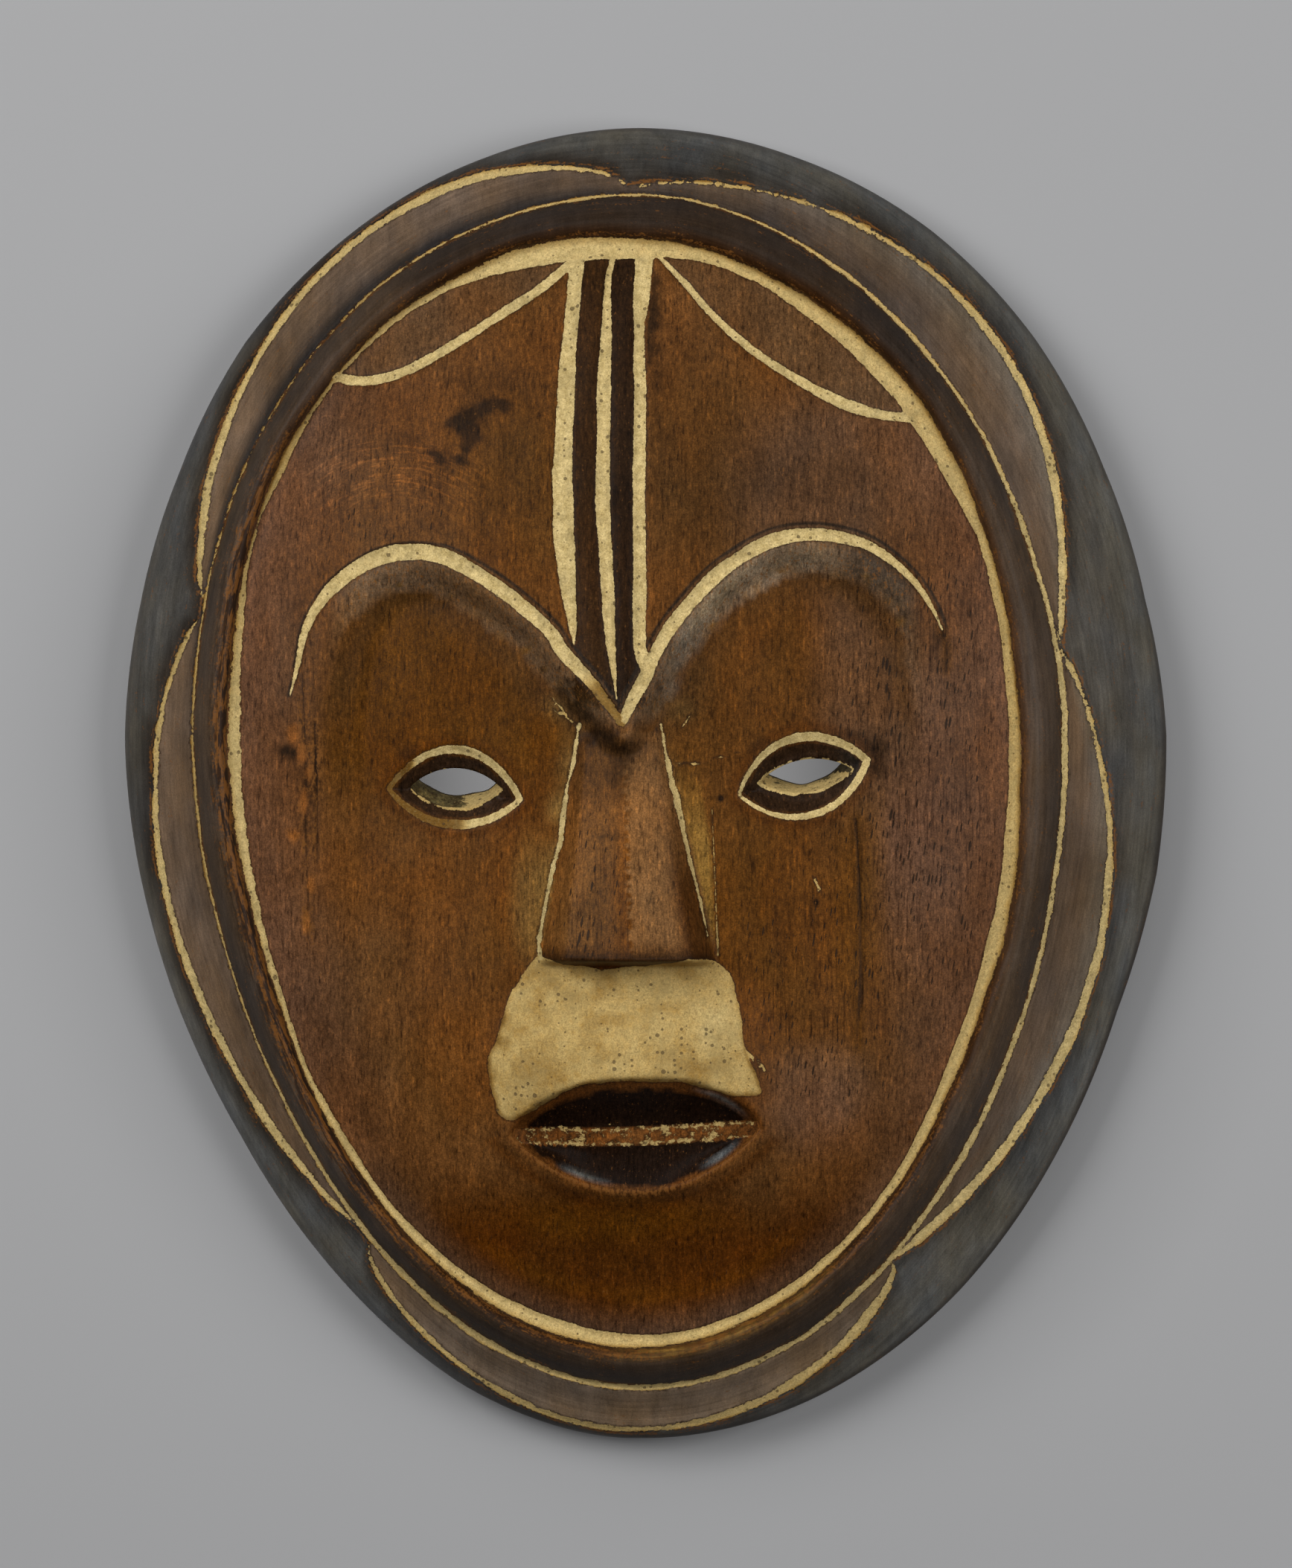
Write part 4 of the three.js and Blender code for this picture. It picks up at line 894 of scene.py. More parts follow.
def carve_mouth(c):
    x, y, face = c.x, c.y, c.face
    drop, from_bar, level, edge_of_bar = mouth_drop(x, y)
    rim = inside_almond(MOUTH, MOUTH_CURVES, x, y)
    c.z += face * (0.45 * near(rim, -1.4, 2.2) - drop)
    in_mouth = face & (level < 1)
    on_bar = in_mouth & (from_bar <= 0.03)
    margin = np.where(y > -89, 2.7, 0.9) + 0.5 * ripple(x, y, 3.0, 12)
    wall = in_mouth * ease((rim - margin) / 0.9)
    # The first row is a painted shadow under the lower lip.
    c.coats(face,
            ("deep", near(rim, -4.2, 2.6) * (y < -90) * 0.6),
            ("upper_lip", ease((rim + 1.3) / 0.8)),
            ("black", wall),
            ("bar", on_bar * 1.0))
    c.at_least("rub", face * near(rim, -0.2, 1.6) * (y < -89) * 0.8)
    c.at_least("gloss", wall * 0.9)
    c.finish["gloss"] = np.where(on_bar, 0.2, c.finish["gloss"])
    c.finish["pores"] = np.where(in_mouth, 0, c.finish["pores"])
    flecks = -0.03 + 0.19 * ease(1 - edge_of_bar / 0.6) + 0.14 * ripple(x, y, 1.1, 41)
    c.lay_paint(in_mouth & (from_bar < 0.12), flecks, 0.62, 0.2)
    # Painted highlights on the rim inside the mouth.
    for sx, sy, across, up, share in MOUTH_SHEENS:
        c.tint("blue_sheen", in_mouth * spot(c, sx, sy, across, up, 1.2) * near(rim, 1.9, 1.3) * share)


print("nose and mouth set out")

# %% Eyes
def carve_eyes(c):
    x, y, face = c.x, c.y, c.face
    for eye in EYES:
        left_eye = eye is LEFT_EYE
        top, bottom, left_width, right_width = eye["band"]
        inner = inside_almond(eye["almond"], EYE_CURVES, x, y)
        opening = inside_almond(eye["opening"], EYE_CURVES, x, y)
        _, v, off = almond_place(eye["almond"], EYE_CURVES, x, y)
        middle = clamp(1 - np.abs(v) * 0.9)
        width = blend(np.where(v < 0, left_width, right_width), np.where(off > 0, top, bottom), middle)
        width = width * (0.6 + 0.4 * c.uneven)
        in_eye = face & (inner > 0)
        c.z -= in_eye * EYE_BEVEL_DEPTH * clamp((inner - 0.3 * width) / 5.0)
        c.z -= face * cut(0.5, width / 2, inner - width / 2)
        dark_lid = in_eye * ease((inner - width) / 0.5)
        # The corners of the bevel are painted darker as shade; on the right eye its right end gets a
        # painted grey sheen.
        c.coats(dark_lid,
                ("lid", 1.0),
                ("lid_grey_and_sheen", ease(v * 2 - 0.8) * (0 if left_eye else 0.8)),
                ("black", ease(np.abs(v) * 3 - 2.0) * 0.7))
        c.at_least("gloss", dark_lid * 0.3)
        c.finish["pores"] = np.where(in_eye, 0, c.finish["pores"])
        band_gold, lip, lip_gold = 0.02, 0.5 + 0.25 * ease(-v * 3), 0.45
        if left_eye:
            worn, bare_start = (off < 0) * ease((0.35 - v) / 0.3), ease((-0.55 - v) / 0.15) * (off > 0)
            band_gold = 0.02 + 1.25 * worn + 1.2 * bare_start
            lip, lip_gold = 0.15 + 0.45 * ease(-off * 0.5), 0.7
        c.lay_paint(face, np.minimum(inner, width - inner), band_gold, 0.1)
        c.lay_paint(face & (inner > 2), lip + opening, lip_gold, 0.5)
        c.tint("deep", face * near(inner, -1.3, 2.2) * 0.5)


print("eyes set out")

# %% [markdown]
# ## Cut lines, lip paint and signs of use
# Brows, stripes and leaves are cut last, then painted. The paint between nose and mouth was put on
# thick and covers the wood like a plaster, with pits and a rounded edge. Last come the marks of age:
# a knot and cracks along the grain, spilt stain, and two bored specks. They are soft spots of stain
# rather than cuts, because in the real wood they hardly break the surface.
# A few of the dark spots are painted shade: below the brow point, in the right eye's outer corner and
# under the lower lip.

# %% Places of the marks
# Mostly dark stains; the spots below the brow point, at the outer corner of the right eye and just under
# the lower lip are painted shade.
SMUDGES_AND_SHADES = (
    # x, y, across, up, strength
    (-89.5, 8.0, 5.0, 3.0, 0.7), (-86.0, -3.0, 2.6, 12.0, 0.3), (-30.0, 96.0, 12.0, 10.0, 0.2),
    (-11.5, 12.5, 5.5, 3.2, 0.9), (-5.5, 9.0, 6.0, 3.6, 0.95), (-5.5, 3.0, 3.4, 6.0, 0.6),
    (-16.5, 18.0, 4.0, 2.6, 0.5), (-8.6, -13.0, 5.0, 1.6, 0.55), (2.6, 122.0, 2.4, 11.0, 0.9),
    (3.2, 104.0, 1.8, 12.0, 0.55), (-21.5, 23.6, 3.4, 2.6, 0.7), (-18.0, 20.4, 3.4, 2.6, 0.7),
    (-14.4, 16.6, 3.4, 2.6, 0.7), (1.2, 115.0, 1.3, 14.0, 0.8), (0.2, 96.0, 1.0, 10.0, 0.5),
    (-90.5, 8.4, 3.4, 1.8, 0.95), (33.8, -42.0, 2.2, 18.0, 0.3), (42.5, -36.0, 1.6, 14.0, 0.2),
    (1.0, -104.5, 19.0, 2.6, 0.45), (59.5, 7.5, 4.5, 6.5, 0.75), (52.0, 12.5, 6.0, 2.6, 0.5),
    (29.5, 10.0, 3.4, 2.2, 0.5), (-60.5, 7.5, 3.6, 2.6, 0.5), (-40.0, 7.0, 5.0, 2.4, 0.25),
    (75.0, 37.0, 2.2, 4.0, 0.5), (-36.0, 104.0, 12.0, 5.0, 0.25), (35.0, 78.0, 24.0, 8.0, 0.22),
    (-62.0, 88.0, 5.0, 3.0, 0.3), (52.0, 66.0, 18.0, 4.0, 0.18), (-72.0, -88.0, 3.0, 6.0, 0.3),
)
SPILLS = (
    ((-35.6, 96.4, 1.6), (-38.5, 97.2, 2.0), (-42.0, 95.6, 2.4), (-46.0, 93.6, 3.2), (-49.5, 92.6, 2.0)),
    ((-47.0, 92.4, 2.4), (-44.6, 90.2, 3.6), (-44.4, 88.4, 3.0), (-46.0, 85.8, 1.3)),
    ((-48.2, 83.2, 1.5), (-46.2, 82.6, 1.8)),
    ((-54.6, 84.8, 1.3), (-53.0, 83.4, 2.0), (-51.6, 82.2, 1.1)),
)
BORED_SPECKS = ((19.3, -3.7), (43.6, -30.2))
BARE_SPOTS = (
    # x, y, across, up
    (-90.0, 12.6, 1.4, 2.6), (-88.0, 7.6, 1.3, 2.4), (-86.0, 3.0, 1.0, 2.2), (-90.4, -13.0, 1.7, 1.4),
    (-85.6, -26.3, 1.0, 2.2), (-86.9, -34.7, 0.9, 3.0), (-87.4, -4.0, 0.8, 3.0),
)
NOSE_STROKES = (
    ((-19.6, 16.4, 1.0), (-22.5, 18.2, 0.7), (-29.5, 20.0, 0.3)),
    ((-18.4, 15.6, 1.0), (-23.5, 21.8, 0.7), (-27.5, 25.0, 0.2)),
    ((9.2, 14.4, 0.6), (11.2, 16.6, 1.0), (13.8, 18.8, 0.5)),
    ((8.4, 5.1, 0.8), (13.0, 5.2, 0.9), (24.1, 8.2, 0.2)),
    ((25.4, -68.0, 0.9), (28.4, -70.8, 1.4), (30.4, -73.0, 0.9)),
    ((43.3, -23.4, 1.2), (44.2, -26.4, 1.1), (44.8, -28.2, 0.4)),
)
print(len(SMUDGES_AND_SHADES), "smudges,", len(BARE_SPOTS), "bare spots and", len(SPILLS), "spills")

# %% Lines, lip patch and marks
def cut_face_lines(c):
    for line in cut_lines:
        gap, width, along = nearest(line, c.x, c.y)
        brow = line is left_brow or line is right_brow
        half = width / 2 * (0.55 + 0.45 * c.uneven)
        c.z -= c.face * cut(BROW_DEPTH if brow else STRIPE_DEPTH, half, gap) * clamp(width / 1.2)
        bare_end = ease((along - 0.86) / 0.06) * 1.05 if line is left_brow else 0
        c.lay_paint(c.face, half - gap, 0.02 + bare_end, 0.1 + 0.3 * bare_end)
        if brow:
            above = c.face * (c.from_brow <= 0.1) * (gap > half)
            off = ease((c.x + 66) / 30)
            shadow_edge = ease(1.3 - 1.3 * np.abs(gap - half - off - 0.15) / 0.6)
            # Above the brows: a painted highlight for the lit wall of the cut, then a painted shadow line
            # along its edge.
            c.coats(above,
                    ("bevel", near(gap, half + off / 2, 0.5) * 0.5),
                    ("flank_shadow", shadow_edge * 0.95))
    for line, gold in ((nose_edges[0], 0.1), (nose_edges[1], 0.3), (nose_flank_edge, 0.85)):
        gap, width, _ = nearest(line, c.x, c.y)
        half = width / 2 * (0.4 + 0.6 * c.uneven)
        c.lay_paint(c.face, half - gap, gold, 0.25 + 0.2 * ripple(c.x, c.y, 6.0, 13))
    for places in NOSE_STROKES:
        gap, width, _ = nearest(trace(places), c.x, c.y)
        c.lay_paint(c.face, width / 2 - gap, 0.75, 0.25)


def lay_lip_patch(c):
    x, y = c.x, c.y
    patch = inside_patch(x, y) + 0.4 * ripple(x, y, 5.0, 14) + 0.25 * ripple(x, y, 1.6, 15)
    lumps = 1 + 0.15 * ripple(x, y, 9.0, 16) + 0.15 * ripple(x, y, 3.0, 35)
    c.z += c.face * LIP_PATCH_THICKNESS * ease(patch / 0.6) * lumps
    rubbed_edge = ease(1 - patch / 1.4) * ease(0.6 - (y + 60) / 30)
    golden = 0.8 - 0.3 * spot(c, 18, -60, 10, 14) + 0.4 * rubbed_edge
    golden = golden + 0.1 * ripple(x, y, 9.0, 36) + 0.15 * ripple(x, y, 3.0, 42)
    c.lay_paint(c.face, patch, golden, 0.04)


def add_marks(c):
    x, y = c.x, c.y
    for sx, sy in BORED_SPECKS:
        c.tint("black", c.face * ease((1.05 - np.hypot(x - sx, (y - sy) * 0.85)) / 0.35) * 0.95)
    for line in cracks:
        gap, width, _ = nearest(line, x, y)
        left_side = np.mean(line[:, 0]) < 0
        patchy = 0.7 + 0.45 * ripple(x, y, 7.0, 43)
        core = ease(1.5 - gap / np.maximum(width * 0.7, 0.3))
        c.z -= c.face * cut(0.15, width / 2 * c.uneven, gap)
        c.at_least("rub", c.face * near(gap, 1.0, 1.8) * (0.62 if left_side else 0) * patchy)
        c.coats(c.face,
                ("ochre", ease(1 - gap / 3.2) * (x < line[0, 0] + 2) * (0 if left_side else 0.6)),
                ("black", core * patchy * 0.9),
                ("smudge_and_shade", ease(1 - gap / 1.6) * patchy * 0.3))
    for sx, sy, across, up, strength in SMUDGES_AND_SHADES:
        off_middle = np.hypot((x - sx) / across, (y - sy) / up) + 0.3 * ripple(x, y, 3.0, 17)
        c.tint("smudge_and_shade", c.face * ease(1.25 - off_middle) * strength * (c.finish["paint"] < 0))
    for sx, sy, across, up in BARE_SPOTS:
        off_middle = np.hypot((x - sx) / across, (y - sy) / up) + 0.35 * ripple(x, y, 1.6, 50)
        c.tint("bar", c.face * ease(1.45 - off_middle) * 0.95)
    for places in SPILLS:
        gap, width, _ = nearest(trace(places, 1.5), x, y)
        rough = gap + 0.45 * ripple(x, y, 1.8, 37)
        c.tint("smudge_and_shade", c.face * ease(1.9 - 1.7 * rough / width) * 0.8)
        c.tint("smudge_and_shade", c.face * ease(1.2 - rough / (width * 1.6)) * 0.2)


def carve(x, y):
    """Height, stain and finish of the front, for places in millimetres."""
    c = Carving(x, y)
    for step in (carve_rings, stain_and_shading_roll, stain_and_shading_crescents, stain_and_shading_flank, carve_face, stain_and_shading_face,
                 stain_and_shading_sockets, stain_forehead, scatter_pores, carve_nose, carve_mouth, carve_eyes,
                 cut_face_lines, lay_lip_patch, add_marks):
        step(c)
    return c


print("carving ready to be worked out for any place")

# %% [markdown]
# ## Where the mesh needs points
# A relief mesh is only as sharp as its points are close, so rows of points run along both edges of
# every cut and the plain wood between gets wider spacing. Pushing a grid up and down would blur each
# cut that crosses it slantwise. The rows are joined to triangles at the end.

# %% Rows of points along the rings and the lines
STATIONS = 900
EYE_STATIONS = 120
angles = np.linspace(0, 2 * np.pi, STATIONS, endpoint=False)
outline_loop = at_angle(angles, outline_radius(angles))
eye_loops = [almond_loop(eye["opening"], EYE_CURVES, EYE_STATIONS) for eye in EYES]


class Pattern:
    """Points in the plane, kept apart by a small gap."""

    def __init__(self, gap):
        self.gap = gap
        self.places = []
        self.cells = {}

    def add(self, places):
        for x, y in places:
            i, j = int(x // self.gap), int(y // self.gap)
            around_it = [self.cells.get((i + a, j + b)) for a in (-1, 0, 1) for b in (-1, 0, 1)]
            if all(p is None or math.hypot(p[0] - x, p[1] - y) > self.gap * 0.9 for p in around_it):
                self.cells[i, j] = (x, y)
                self.places.append((x, y))


def offset_line(line, off):
    """A row beside a traced line, at a distance to its left."""
    step = np.gradient(line[:, :2], axis=0)
    length = np.hypot(*step.T)
    side = np.column_stack([-step[:, 1], step[:, 0]]) / length[:, None]
    return line[:, :2] + side * np.asarray(off).reshape(-1, 1)


HALF_LINE = (0, -0.6, 0.6, -1.0, 1.0)
FINEST_GAP = 0.42
pattern = Pattern(FINEST_GAP)
for loop in (outline_loop, *eye_loops):
    pattern.add(loop)


def ring_rows(radius, half, shares, offs=(), stretch=slice(None)):
    """Rows along a ring line, at shares of its half width and at distances past its edges."""
    for share in shares:
        pattern.add(at_angle(angles[stretch], (radius + half * share)[stretch]))
    for off in offs:
        pattern.add(at_angle(angles[stretch], (radius + half + off)[stretch]))
        pattern.add(at_angle(angles[stretch], (radius - half - off)[stretch]))


bulges, crescent_widths = crescent_at(angles)
thin_radius = thin_line_radius(angles)
ring_rows(thin_radius, 1.0, (0, -FINEST_GAP, FINEST_GAP, -0.84, 0.84, -1.4, 1.4))
ring_rows(thick_line_radius(angles), around(THICK_LINE_WIDTHS, angles) / 2, HALF_LINE, (0.4, 1.1, 2.2))
ring_rows(thin_radius + bulges, crescent_widths / 2, HALF_LINE, (0.45, 1.2), bulges > 1)
for inset in (0.15, 0.5, 1.1, 2.0, 3.3):
    pattern.add(at_angle(angles, outline_radius(angles) - inset)[:: 1 if inset < 1 else 2])
for line in cut_lines:
    half = line[:, 2] / 2
    for share in (0, -0.6, 0.6, -0.92, 0.92, -1.12, 1.12):
        pattern.add(offset_line(line, half * share))
    for side in (-1, 1):
        pattern.add(offset_line(line, side * (half + 0.9)))
for line in (left_brow, right_brow):
    for off in (0.3, 0.6, 1.3, 1.8):
        pattern.add(offset_line(line, line[:, 2] / 2 + off))
print(len(pattern.places), "points along the rings and the lines")

# %% Rows at the marks, the patch, the eyes, the mouth and the nose
for places in SPILLS:
    line = trace(places)
    for share in (0, -0.5, 0.5, -1.0, 1.0, -1.6, 1.6):
        pattern.add(offset_line(line, line[:, 2] / 2 * share))
for line in (*nose_edges, nose_flank_edge):
    for share in (0, -1.0, 1.0):
        pattern.add(offset_line(line, line[:, 2] / 2 * share))
for line in cracks:
    for off in (-0.9, -0.42, 0, 0.42, 0.9):
        pattern.add(offset_line(line, off))
for sx, sy in BORED_SPECKS:
    for size, count in ((0, 1), (0.5, 6), (0.95, 12), (1.45, 16)):
        turn = np.linspace(0, 2 * np.pi, count, endpoint=False)
        pattern.add(np.column_stack([sx + size * np.sin(turn), sy + size * np.cos(turn) * 1.15]))
ring = trace([(px, py, 0) for px, py in (*LIP_PATCH, LIP_PATCH[0])], 0.7)
for off in (-0.9, -0.3, 0.3, 0.9):
    pattern.add(offset_line(ring, off))
for eye in EYES:
    (x0, y0), (x1, y1), rise, drop = eye["almond"]
    for inset in (0, 0.5, 1.1, 1.8, 2.5, 3.2, 4.0, 5.0):
        smaller = ((x0 + 1.6 * inset, y0), (x1 - 1.6 * inset, y1), rise - inset, drop - inset)
        pattern.add(almond_loop(smaller, EYE_CURVES, 170))
for inset in (-1.6, -0.8, 0, 0.7, 1.4, 2.2, 3.1, 4.2, 5.4, 6.8, 8.4, 10.0):
    (x0, y0), (x1, y1), rise, drop = MOUTH
    smaller = ((x0 + 0.8 * inset, y0), (x1 - 0.8 * inset, y1), rise - inset, drop - inset)
    pattern.add(almond_loop(smaller, MOUTH_CURVES, 200))
for share in (0.0, 0.6, 0.95, 1.1, 1.4):
    for side in (-1, 1):
        t = np.linspace(0.02, 0.98, 110)
        (x0, y0), (x1, y1) = MOUTH[:2]
        off = side * MOUTH_BAR_HEIGHT / 2 * share - MOUTH_BAR_BOW * (1 - (2 * t - 1) ** 2)
        pattern.add(np.column_stack([blend(x0, x1, t), blend(y0, y1, t) + off]))
for share in (-1.0, -NOSE_SHOULDER[0], -0.12, 0, 0.12, NOSE_SHOULDER[0], 1.0):
    t = np.linspace(0, 1, 90)
    ridge = blend(*NOSE_RIDGE, t)
    base = blend(*(NOSE_LEFT if share < 0 else NOSE_RIGHT), t)
    pattern.add(np.column_stack([blend(ridge, base, abs(share)), blend(NOSE_ROOT_Y, NOSE_TIP_Y, t)]))
for y in (NOSE_TIP_Y + 0.6, NOSE_TIP_Y, -45.0, -45.6, -46.2, NOSE_UNDERSIDE_Y, NOSE_UNDERSIDE_Y - 0.6):
    t = np.linspace(NOSE_LEFT[1] - 1, NOSE_RIGHT[1] + 1, 70)
    pattern.add(np.column_stack([t, np.full_like(t, y)]))
print(len(pattern.places), "points along the cuts")

# %% A graded fill between the rows
FILL = ((0.95, 0.7, 2.3), (1.45, 2.3, 5.5), (2.0, 5.5, FAR))
lines_tree = kdtree.KDTree(len(pattern.places))
for i, (x, y) in enumerate(pattern.places):
    lines_tree.insert((x, y, 0), i)
lines_tree.balance()
filled = []
for spacing, nearer, farther in FILL:
    row_height = spacing * math.sqrt(3) / 2
    rows = np.arange(-MASK_HEIGHT / 2, MASK_HEIGHT / 2, row_height)
    for k, y in enumerate(rows):
        xs = np.arange(-MASK_WIDTH / 2, MASK_WIDTH / 2, spacing) + (k % 2) * spacing / 2
        angle, radius = polar(xs, np.full_like(xs, y))
        xs = xs[radius < outline_radius(angle) - 0.6]
        for x in xs:
            gap = lines_tree.find((x, y, 0))[2]
            if nearer * (1 if nearer < 1 else 0.98) < gap <= farther:
                filled.append((x, y))
holes = [np.array(loop) for loop in eye_loops]
filled = np.array(filled)
in_hole = inside_loop(holes[0], *filled.T) | inside_loop(holes[1], *filled.T)
on_lines = np.array(pattern.places)
# The eyes are taken a hair larger here, so that no point of a row sits right on their edge.
inner_hole = np.zeros(len(on_lines), bool)
for loop in holes:
    centre = loop.mean(0)
    inner_hole |= inside_loop(centre + (loop - centre) * 1.001, *on_lines.T)
front_places = np.vstack([on_lines[~inner_hole], filled[~in_hole]])
print(len(filled), "points in the plain wood,", len(front_places), "in all")

# %% [markdown]
# ## Front, back and walls in one closed shell
# The hollow back follows the front at wall thickness, with a flat rim all round that the mask lies
# on. It was cleared with a big gouge, which leaves shallow scallops. Front and back are two nets of
# triangles, and strips of faces join them round the outline and through the eyes, so the shell is
# closed like the real block.

# %% Nets and shell
RIM_WIDTH = 14.0
HOLLOW_HEIGHT = 40.0
HOLLOW_ROUNDNESS = 2.6
RIM_ROUND = 1.0


def net(places, loops):
    """Triangles over places, without those inside the eyes or outside the outline."""
    places = np.vstack([*loops, places])
    starts = np.cumsum([0, *[len(loop) for loop in loops]])
    edges = []
    for start, loop in zip(starts, loops):
        count = len(loop)
        edges += [(start + i, start + (i + 1) % count) for i in range(count)]
    vectors = [Vector(p) for p in places.tolist()]
    spots, _, faces, origin, _, _ = geometry.delaunay_2d_cdt(vectors, edges, [], 0, 1e-6, True)
    spots = np.array([tuple(p) for p in spots])
    faces = np.array([tuple(f) for f in faces])
    of_loop = np.full(len(spots), -1)
    loop_index = [np.zeros(len(loop), int) for loop in loops]
    for new, old in enumerate(origin):
        for k, (start, loop) in enumerate(zip(starts, loops)):
            for index in old:
                if start <= index < start + len(loop):
                    of_loop[new] = k
                    loop_index[k][index - start] = new
    kinds = of_loop[faces]
    in_one_loop = (kinds[:, 0] >= 0) & (kinds[:, 0] == kinds[:, 1]) & (kinds[:, 1] == kinds[:, 2])
    return spots, faces[~in_one_loop], loop_index


front_loops = [outline_loop, *eye_loops]
front_spots, front_faces, front_edges = net(front_places, front_loops)
carved = carve(front_spots[:, 0], front_spots[:, 1])
front = np.column_stack([front_spots, np.maximum(carved.z, 1.0)])
print(len(front), "points and", len(front_faces), "triangles on the front")


def back_height(x, y):
    angle, radius = polar(x, y)
    share = radius / (outline_radius(angle) - RIM_WIDTH)
    inside = share < 1
    height = HOLLOW_HEIGHT * np.sqrt(clamp(1 - np.minimum(share, 1) ** HOLLOW_ROUNDNESS))
    scallops = np.abs(ripple(x, y * 0.45, 9.0, 20)) * 1.1 + 0.3 * ripple(x, y, 5.0, 21)
    return np.where(inside, height - scallops * ease((1 - share) * 9), 0.0)


back_pattern = Pattern(1.0)
back_outline = at_angle(angles, outline_radius(angles) - RIM_ROUND)
back_eyes = [almond_loop(eye["behind"], EYE_CURVES, EYE_STATIONS) for eye in EYES]
for loop in back_eyes:
    loop[:, 1] += 0.7 * ripple(loop[:, 0], loop[:, 1], 4.5, 23)
for inset in (4.0, 8.0, 11.5, 13.4, 14.0, 14.25, 14.8, 15.8, 17.2, 19.0, 21.5):
    back_pattern.add(at_angle(angles, outline_radius(angles) - inset)[:: 2 if inset > 11 else 4])
grid = np.array([(x + (k % 2) * 1.5, y) for k, y in enumerate(np.arange(-170, 170, 2.6))
                 for x in np.arange(-135, 135, 3.0)])
angle, radius = polar(*grid.T)
keep = radius < outline_radius(angle) - 23.5
for loop in back_eyes:
    centre = loop.mean(0)
    keep &= ~inside_loop(centre + (loop - centre) * 1.12, *grid.T)
back_places = np.vstack([back_pattern.places, grid[keep]])
back_spots, back_faces, back_edges = net(back_places, [back_outline, *back_eyes])
back = np.column_stack([back_spots, back_height(*back_spots.T)])
print(len(back), "points and", len(back_faces), "triangles on the back")

# %% Side walls and the walls of the eyes
points, faces = [front, back], [front_faces, back_faces[:, ::-1] + len(front)]
total = len(front) + len(back)
SIDE_ROWS = ((0.25, 0.0), (0.55, 0.0), (0.8, 0.0), (0.93, 0.25))
EYE_ROWS = (0.1, 0.3, 0.5, 0.7, 0.9)
wall_kinds = []
for k, (top, under) in enumerate(zip(front_edges, back_edges)):
    upper, lower = front[top], back[under]
    rows = [top]
    for row in SIDE_ROWS if k == 0 else EYE_ROWS:
        if k == 0:
            share, inset = row
            middle = upper.copy()
            middle[:, 2] = blend(upper[:, 2], 0, share)
            middle[:, :2] = blend(upper[:, :2], lower[:, :2], inset)
        else:
            middle = blend(upper, lower, row)
            uneven = 0.45 * math.sin(math.pi * row)
            middle[:, 1] += uneven * ripple(upper[:, 0], upper[:, 1] + 3 * row, 3.0, 22)
        points.append(middle)
        wall_kinds.append((total, len(middle), k))
        rows.append(np.arange(total, total + len(middle)))
        total += len(middle)
    rows.append(under + len(front))
    for a, b in zip(rows, rows[1:]):
        a1, b1 = np.roll(a, -1), np.roll(b, -1)
        faces += [np.column_stack([a, a1, b1]), np.column_stack([a, b1, b])]
points, faces = np.vstack(points), np.vstack(faces)
print(len(points), "points and", len(faces), "triangles in the shell")

# %% The mask as one object, with its finish as attributes
mesh = bpy.data.meshes.new("mask_carving")
mesh.from_pydata((points * MM).tolist(), [], faces.tolist())
mesh.validate()
mask = bpy.data.objects.new("mask_carving", mesh)
bpy.context.collection.objects.link(mask)


def point_values(front_values, back_value, side_value, eye_value):
    """Values for the front, then one for the back, the side and the walls of the eyes."""
    rest = np.full(len(points) - len(front), back_value)
    values = np.concatenate([front_values, rest])
    for start, count, k in wall_kinds:
        values[start:start + count] = side_value if k == 0 else eye_value
    return values


def eye_wall_paint(eye, x, y):
    """Paint on the wall of an eye: it runs down the lower half."""
    uneven = ripple(x, y, 2.0, 44)
    if eye is LEFT_EYE:
        return blend(-0.25, 0.3, ease((x + 52) / 9)) * (y < 1) - 0.5 * (y >= 1) + 0.14 * uneven
    return np.where(y < 3, 0.16, -0.16) + 0.1 * uneven


# The side walls take the flank's painted shadow colour.
raw, side, wall = (linear(STAINS_AND_SHADING[name]) for name in ("raw", "flank_shadow", "eye_wall"))
stain_and_shading = np.column_stack([point_values(carved.stain_and_shading[:, k], raw[k], side[k], wall[k]) for k in range(3)])
colour = mesh.attributes.new("stain_and_shading", "FLOAT_COLOR", "POINT")
colour.data.foreach_set("color", np.column_stack([stain_and_shading, np.ones(len(stain_and_shading))]).ravel())
BACK_SIDE_AND_EYES = {
    "paint": (NO_PAINT, NO_PAINT, 0.0), "gold": (0, 0, 0.5), "wear": (0, 0, 0.1), "rub": (0, 0, 0),
    "pores": (0.3, 0, 0), "gloss": (0, 0.25, 0.2), "outer": (0, 1, 0),
}
for name in FINISHES:
    values = point_values(carved.finish[name], *BACK_SIDE_AND_EYES[name])
    for start, count, k in wall_kinds:
        if name == "paint" and k > 0:
            wall_x, wall_y = points[start:start + count, :2].T
            values[start:start + count] = eye_wall_paint(EYES[k - 1], wall_x, wall_y)
    layer = mesh.attributes.new(name, "FLOAT", "POINT")
    layer.data.foreach_set("value", values)

STROKE_SPAN = 5.75
angle, radius = polar(points[:, 0], points[:, 1])
from_thin = radius - thin_line_radius(angle)
sweep = mesh.attributes.new("sweep", "FLOAT_VECTOR", "POINT")
sweep.data.foreach_set("vector", np.column_stack([
    STROKE_SPAN * np.sin(angle), STROKE_SPAN * np.cos(angle), from_thin]).ravel())
bpy.ops.object.select_all(action="DESELECT")
bpy.context.view_layer.objects.active = mask
mask.select_set(True)
bpy.ops.object.shade_smooth()
print("mesh", len(mesh.vertices), "points,", len(mesh.polygons), "faces")

